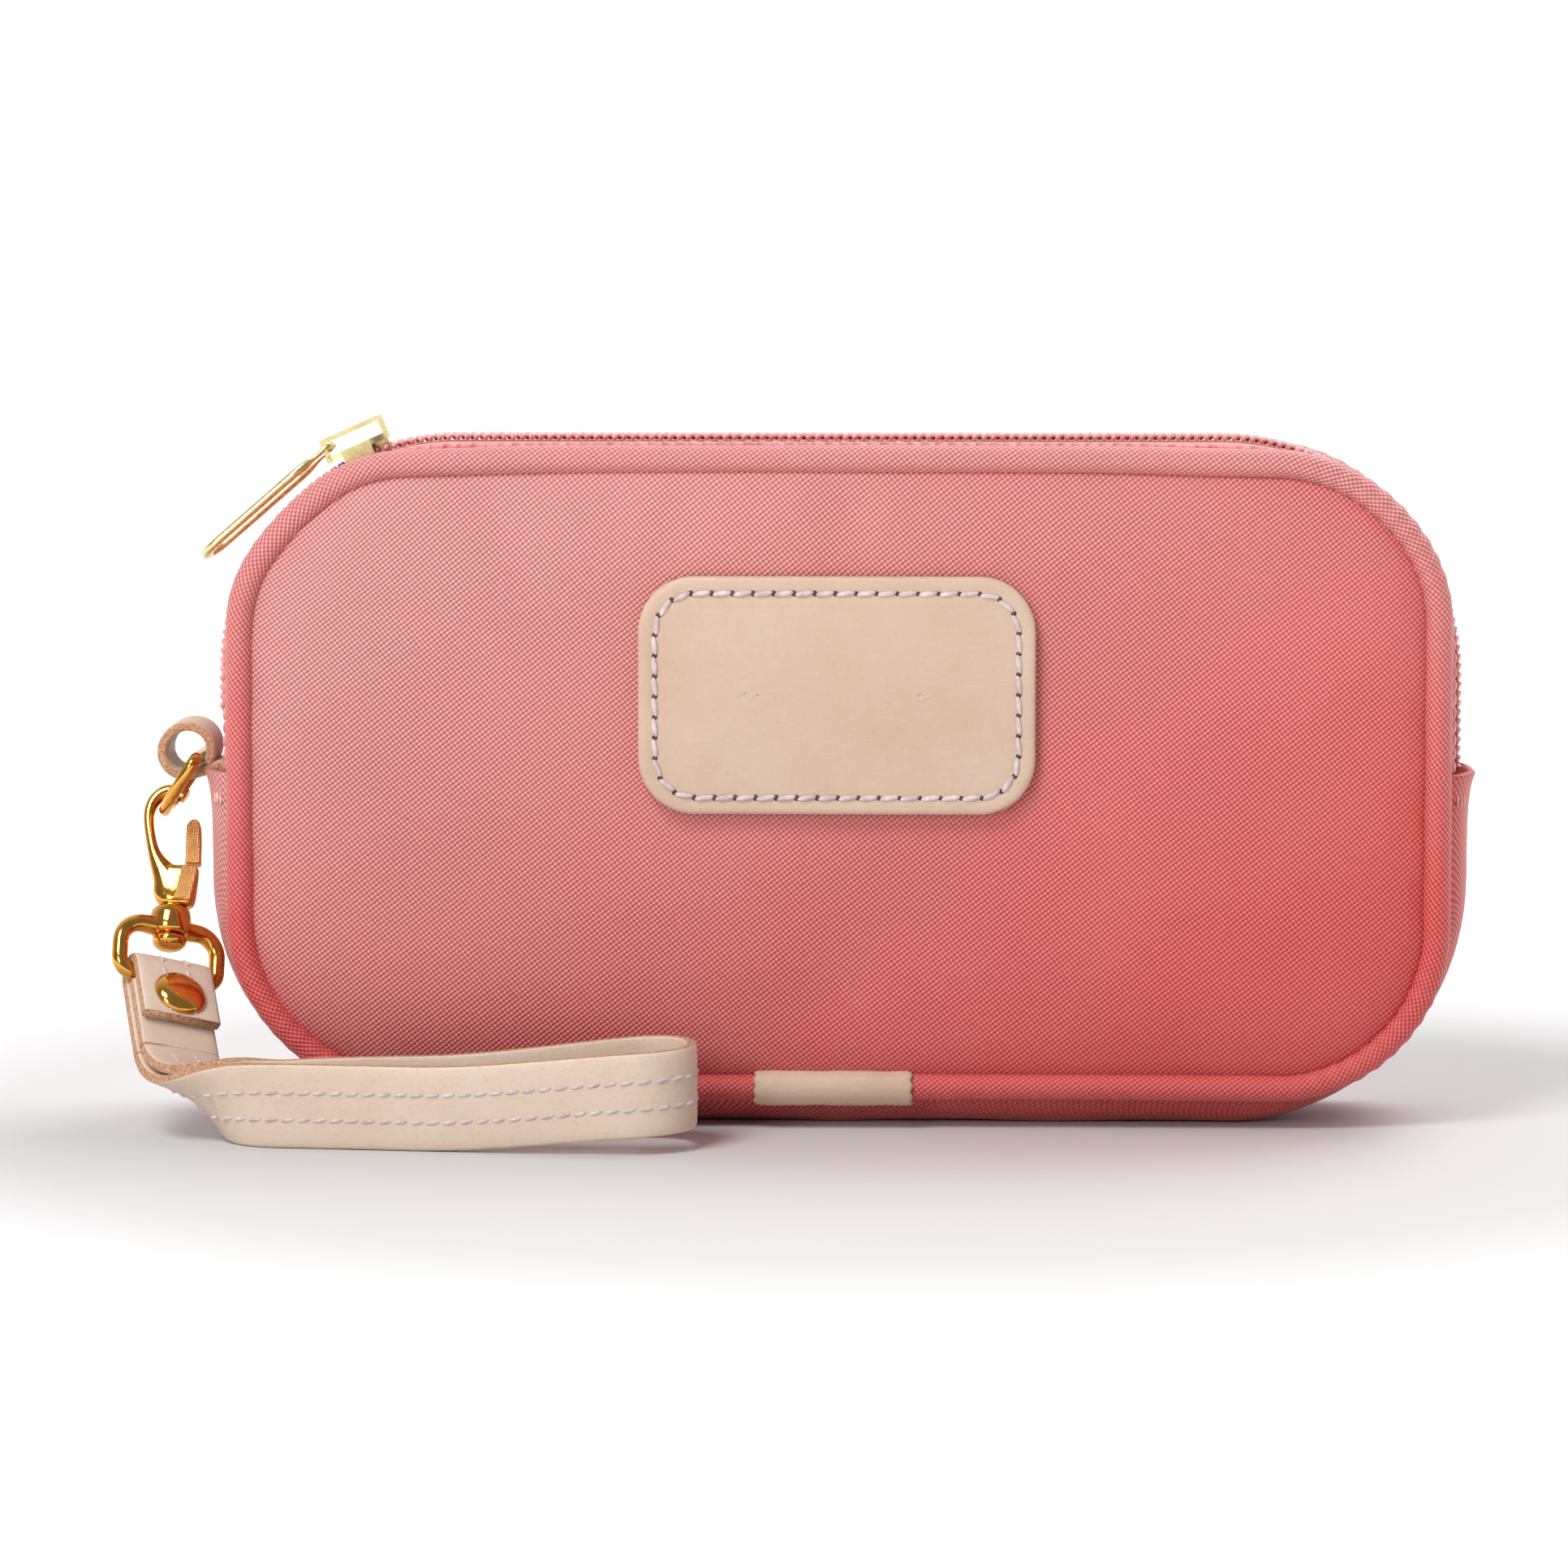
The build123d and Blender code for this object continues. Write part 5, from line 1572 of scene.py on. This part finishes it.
    def seam(self, name: str, line: Array, across: Array, side: float, body: str
             ) -> bpy.types.Object:
        """Two rows of stitches on one face of a strip.

        Args:
            name: The piece's name.
            line: The strip's middle line.
            across: Directions across it.
            side: 1 or -1 for the face they stand on.
            body: The body they move with, or an empty string for none.

        Returns:
            The stitches.
        """
        s = arc_length(line)
        spots = np.arange(1.6, s[-1] - 1.2, self.pitch)
        place = resample(line, spots)
        way = unit(np.stack([np.interp(spots, s, across[:, k]) for k in range(3)], -1))
        along = unit(np.gradient(place, axis=0))
        way = unit(way - along * (way * along).sum(-1, keepdims=True))
        out = np.cross(along, way) * side
        place = place + out * (self.thickness / 2 + 0.02)
        both = np.concatenate([place + way * row for row in self.stitch_rows])
        along, out = np.tile(along, (2, 1)), np.tile(out, (2, 1))
        thing = slanting(name, both, along, out, np.radians(8), pill(2.15, 0.66, 0.5, 5, 8))
        finish_piece(thing, self.wardrobe.thread, "leather", body)
        return thing

    def riveted_end(self) -> None:
        """The end round the eye's bar: flap, half turn over the bar, and the layers behind."""
        bar, down, face = (np.array(v) for v in (self.bar, self.down, self.face))
        run = np.linspace(0, 1, 30)[:, None]
        flap = bar + face * self.offset + down * (self.flap * (1 - run))
        turn = np.linspace(0, np.pi, 30)[1:-1, None]
        over = bar + face * self.offset * np.cos(turn) - down * self.offset * np.sin(turn)
        back = bar - face * self.offset + down * (self.layers * run)
        line = np.concatenate([flap, over, back])
        across = np.broadcast_to(EYE_ACROSS, line.shape)
        self.ribbon("strap_riveted_end", line, across, "clasp", ["strap_end"])
        self.seam("riveted_end_stitches", line, across, self.outer(line, across), "clasp")
        tail = bar + down * (2.0 + (self.layers - 2.0) * run)
        across = np.broadcast_to(EYE_ACROSS, tail.shape)
        self.ribbon("strap_inner_end", tail, across, "clasp", ["strap_tail"])

    def outer(self, line: Array, across: Array) -> float:
        """Which side of a strip faces away from the eye's bar, 1 or -1."""
        out = np.cross(line[1] - line[0], across[0])
        return 1.0 if (out * (line[0] - np.array(self.bar) - np.array(self.down) * self.flap)
                       ).sum() > 0 else -1.0

    def loose_loop(self) -> None:
        """The loose loop and its stitches between the pouch and the clasp, left on no body."""
        line, across = self.band_line()
        thing = self.ribbon("strap_loop_leather", line, across, "",
                            ["strap_loop", "strap_twist_near", "strap_twist_far"])
        seam = self.seam("strap_loop_stitches", line, across, -1.0, "")
        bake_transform(thing)
        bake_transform(seam)

    def rivet(self) -> None:
        """A domed cap on the flap and a flat disc behind, both turned about the post."""
        bar, down, face = (np.array(v) for v in (self.bar, self.down, self.face))
        centre = bar + down * self.rivet_down
        cap = np.array([(0.05, 5.02), (1.6, 5.0), (2.7, 4.86), (3.5, 4.55), (4.1, 4.1), (4.35, 3.7),
                        (4.4, 3.45), (4.1, 3.36), (0.05, 3.36)])
        thing = lathe("rivet_dome", centre, face, cap)
        orient_tube(thing)
        finish_piece(thing, self.wardrobe.gold, "gold", "clasp", ["rivet_cap"])
        disc = np.array([(0.05, -4.25), (2.6, -4.2), (3.6, -4.05), (4.1, -3.75), (4.1, -3.42),
                         (1.28, -3.4), (1.28, 3.36), (0.05, 3.36)])
        thing = lathe("rivet_disc", centre, face, disc)
        orient_tube(thing)
        finish_piece(thing, self.wardrobe.gold, "gold", "clasp", ["rivet_post"])

    def make(self) -> None:
        """Build the strap."""
        self.riveted_end()
        self.loose_loop()
        self.rivet()


# --------------------------------------------------------------------- studio
@dataclass
class Studio:
    """Pale floor, soft light and the camera."""

    azimuth: float = 1.5
    elevation: float = 5.5
    distance: float = 1.0
    view_width: float = 0.2525
    aim: Tuple[float, float, float] = (-8.6, -15.0, 55.7)

    def floor(self) -> None:
        """A wide pale level floor."""
        y = np.linspace(-4000, 40000, 40)
        z = 0 * y
        x = np.linspace(-20000, 20000, 30)
        points = np.stack(np.broadcast_arrays(x[:, None], y[None], z[None]), -1)
        thing = grid("studio_floor", points)
        turn_out(thing, (0, 0, 1))
        thing.data.materials.append(Plain("studio_white", (206, 206, 206)).make())

    def lamp(self, name: str, place: Tuple[float, float, float], size: float, power: float) -> None:
        """A square soft light that points at the wallet.

        Args:
            name: The light's name.
            place: Where it is, in metres.
            size: Side length, in metres.
            power: Watts.
        """
        light = bpy.data.lights.new(name, "AREA")
        light.energy, light.size = power, size
        thing = bpy.data.objects.new(name, light)
        bpy.context.scene.collection.objects.link(thing)
        thing.location = place
        aim = Vector((0, 0, 0.05)) - Vector(place)
        thing.rotation_euler = aim.to_track_quat("-Z", "Y").to_euler()

    def sky(self, tree: bpy.types.NodeTree) -> None:
        """White behind the wallet and grey in front, by the direction's second number.

        Args:
            tree: The world's nodes.
        """
        where = tree.nodes.new("ShaderNodeTexCoord")
        axes = tree.nodes.new("ShaderNodeSeparateXYZ")
        tree.links.new(where.outputs["Generated"], axes.inputs[0])
        ramp = tree.nodes.new("ShaderNodeMapRange")
        for name, value in (("From Min", -0.2), ("From Max", 0.55), ("To Min", 0.26), ("To Max", 1.02)):
            ramp.inputs[name].default_value = value
        tree.links.new(axes.outputs[1], ramp.inputs[0])
        tree.nodes["Background"].inputs[0].default_value = (1, 1, 1, 1)
        tree.links.new(ramp.outputs[0], tree.nodes["Background"].inputs[1])

    def camera(self) -> None:
        """A long lens at the given angle, its frame as wide as view_width at the wallet."""
        lens = bpy.data.cameras.new("camera")
        lens.sensor_width = 36.0
        lens.lens = 36.0 * self.distance / self.view_width
        thing = bpy.data.objects.new("camera", lens)
        bpy.context.scene.collection.objects.link(thing)
        a, e = np.radians(self.azimuth), np.radians(self.elevation)
        back = Vector((np.sin(a) * np.cos(e), -np.cos(a) * np.cos(e), np.sin(e)))
        thing.location = Vector(self.aim) * MM + back * self.distance
        thing.rotation_euler = (-back).to_track_quat("-Z", "Y").to_euler()
        lens.clip_start, lens.clip_end = 0.01, 50
        bpy.context.scene.camera = thing

    def make(self) -> None:
        """Set the stage."""
        scene = bpy.context.scene
        self.floor()
        world = bpy.data.worlds.new("studio")
        world.use_nodes = True
        self.sky(world.node_tree)
        scene.world = world
        self.lamp("key_light", (-0.45, -0.75, 1.1), 0.5, 11)
        self.lamp("front_light", (-0.6, -1.2, 0.5), 0.45, 5)
        self.lamp("back_light", (0.5, 0.45, 1.1), 0.7, 9)
        self.camera()
        scene.view_settings.view_transform = "Standard"
        scene.view_settings.look = "None"


def main() -> None:
    """Build the wallet in order, then the studio, and report each piece."""
    logging.basicConfig(level=logging.INFO, format="%(name)s %(message)s", force=True)
    wardrobe = Wardrobe()
    Pouch(wardrobe).make()
    Zip(wardrobe).make()
    NamePatch(wardrobe).make()
    PipingWrap(wardrobe).make()
    SideRing(wardrobe).make()
    Clasp(wardrobe).make()
    WristStrap(wardrobe).make()
    Studio().make()


if __name__ == "__main__":
    main()
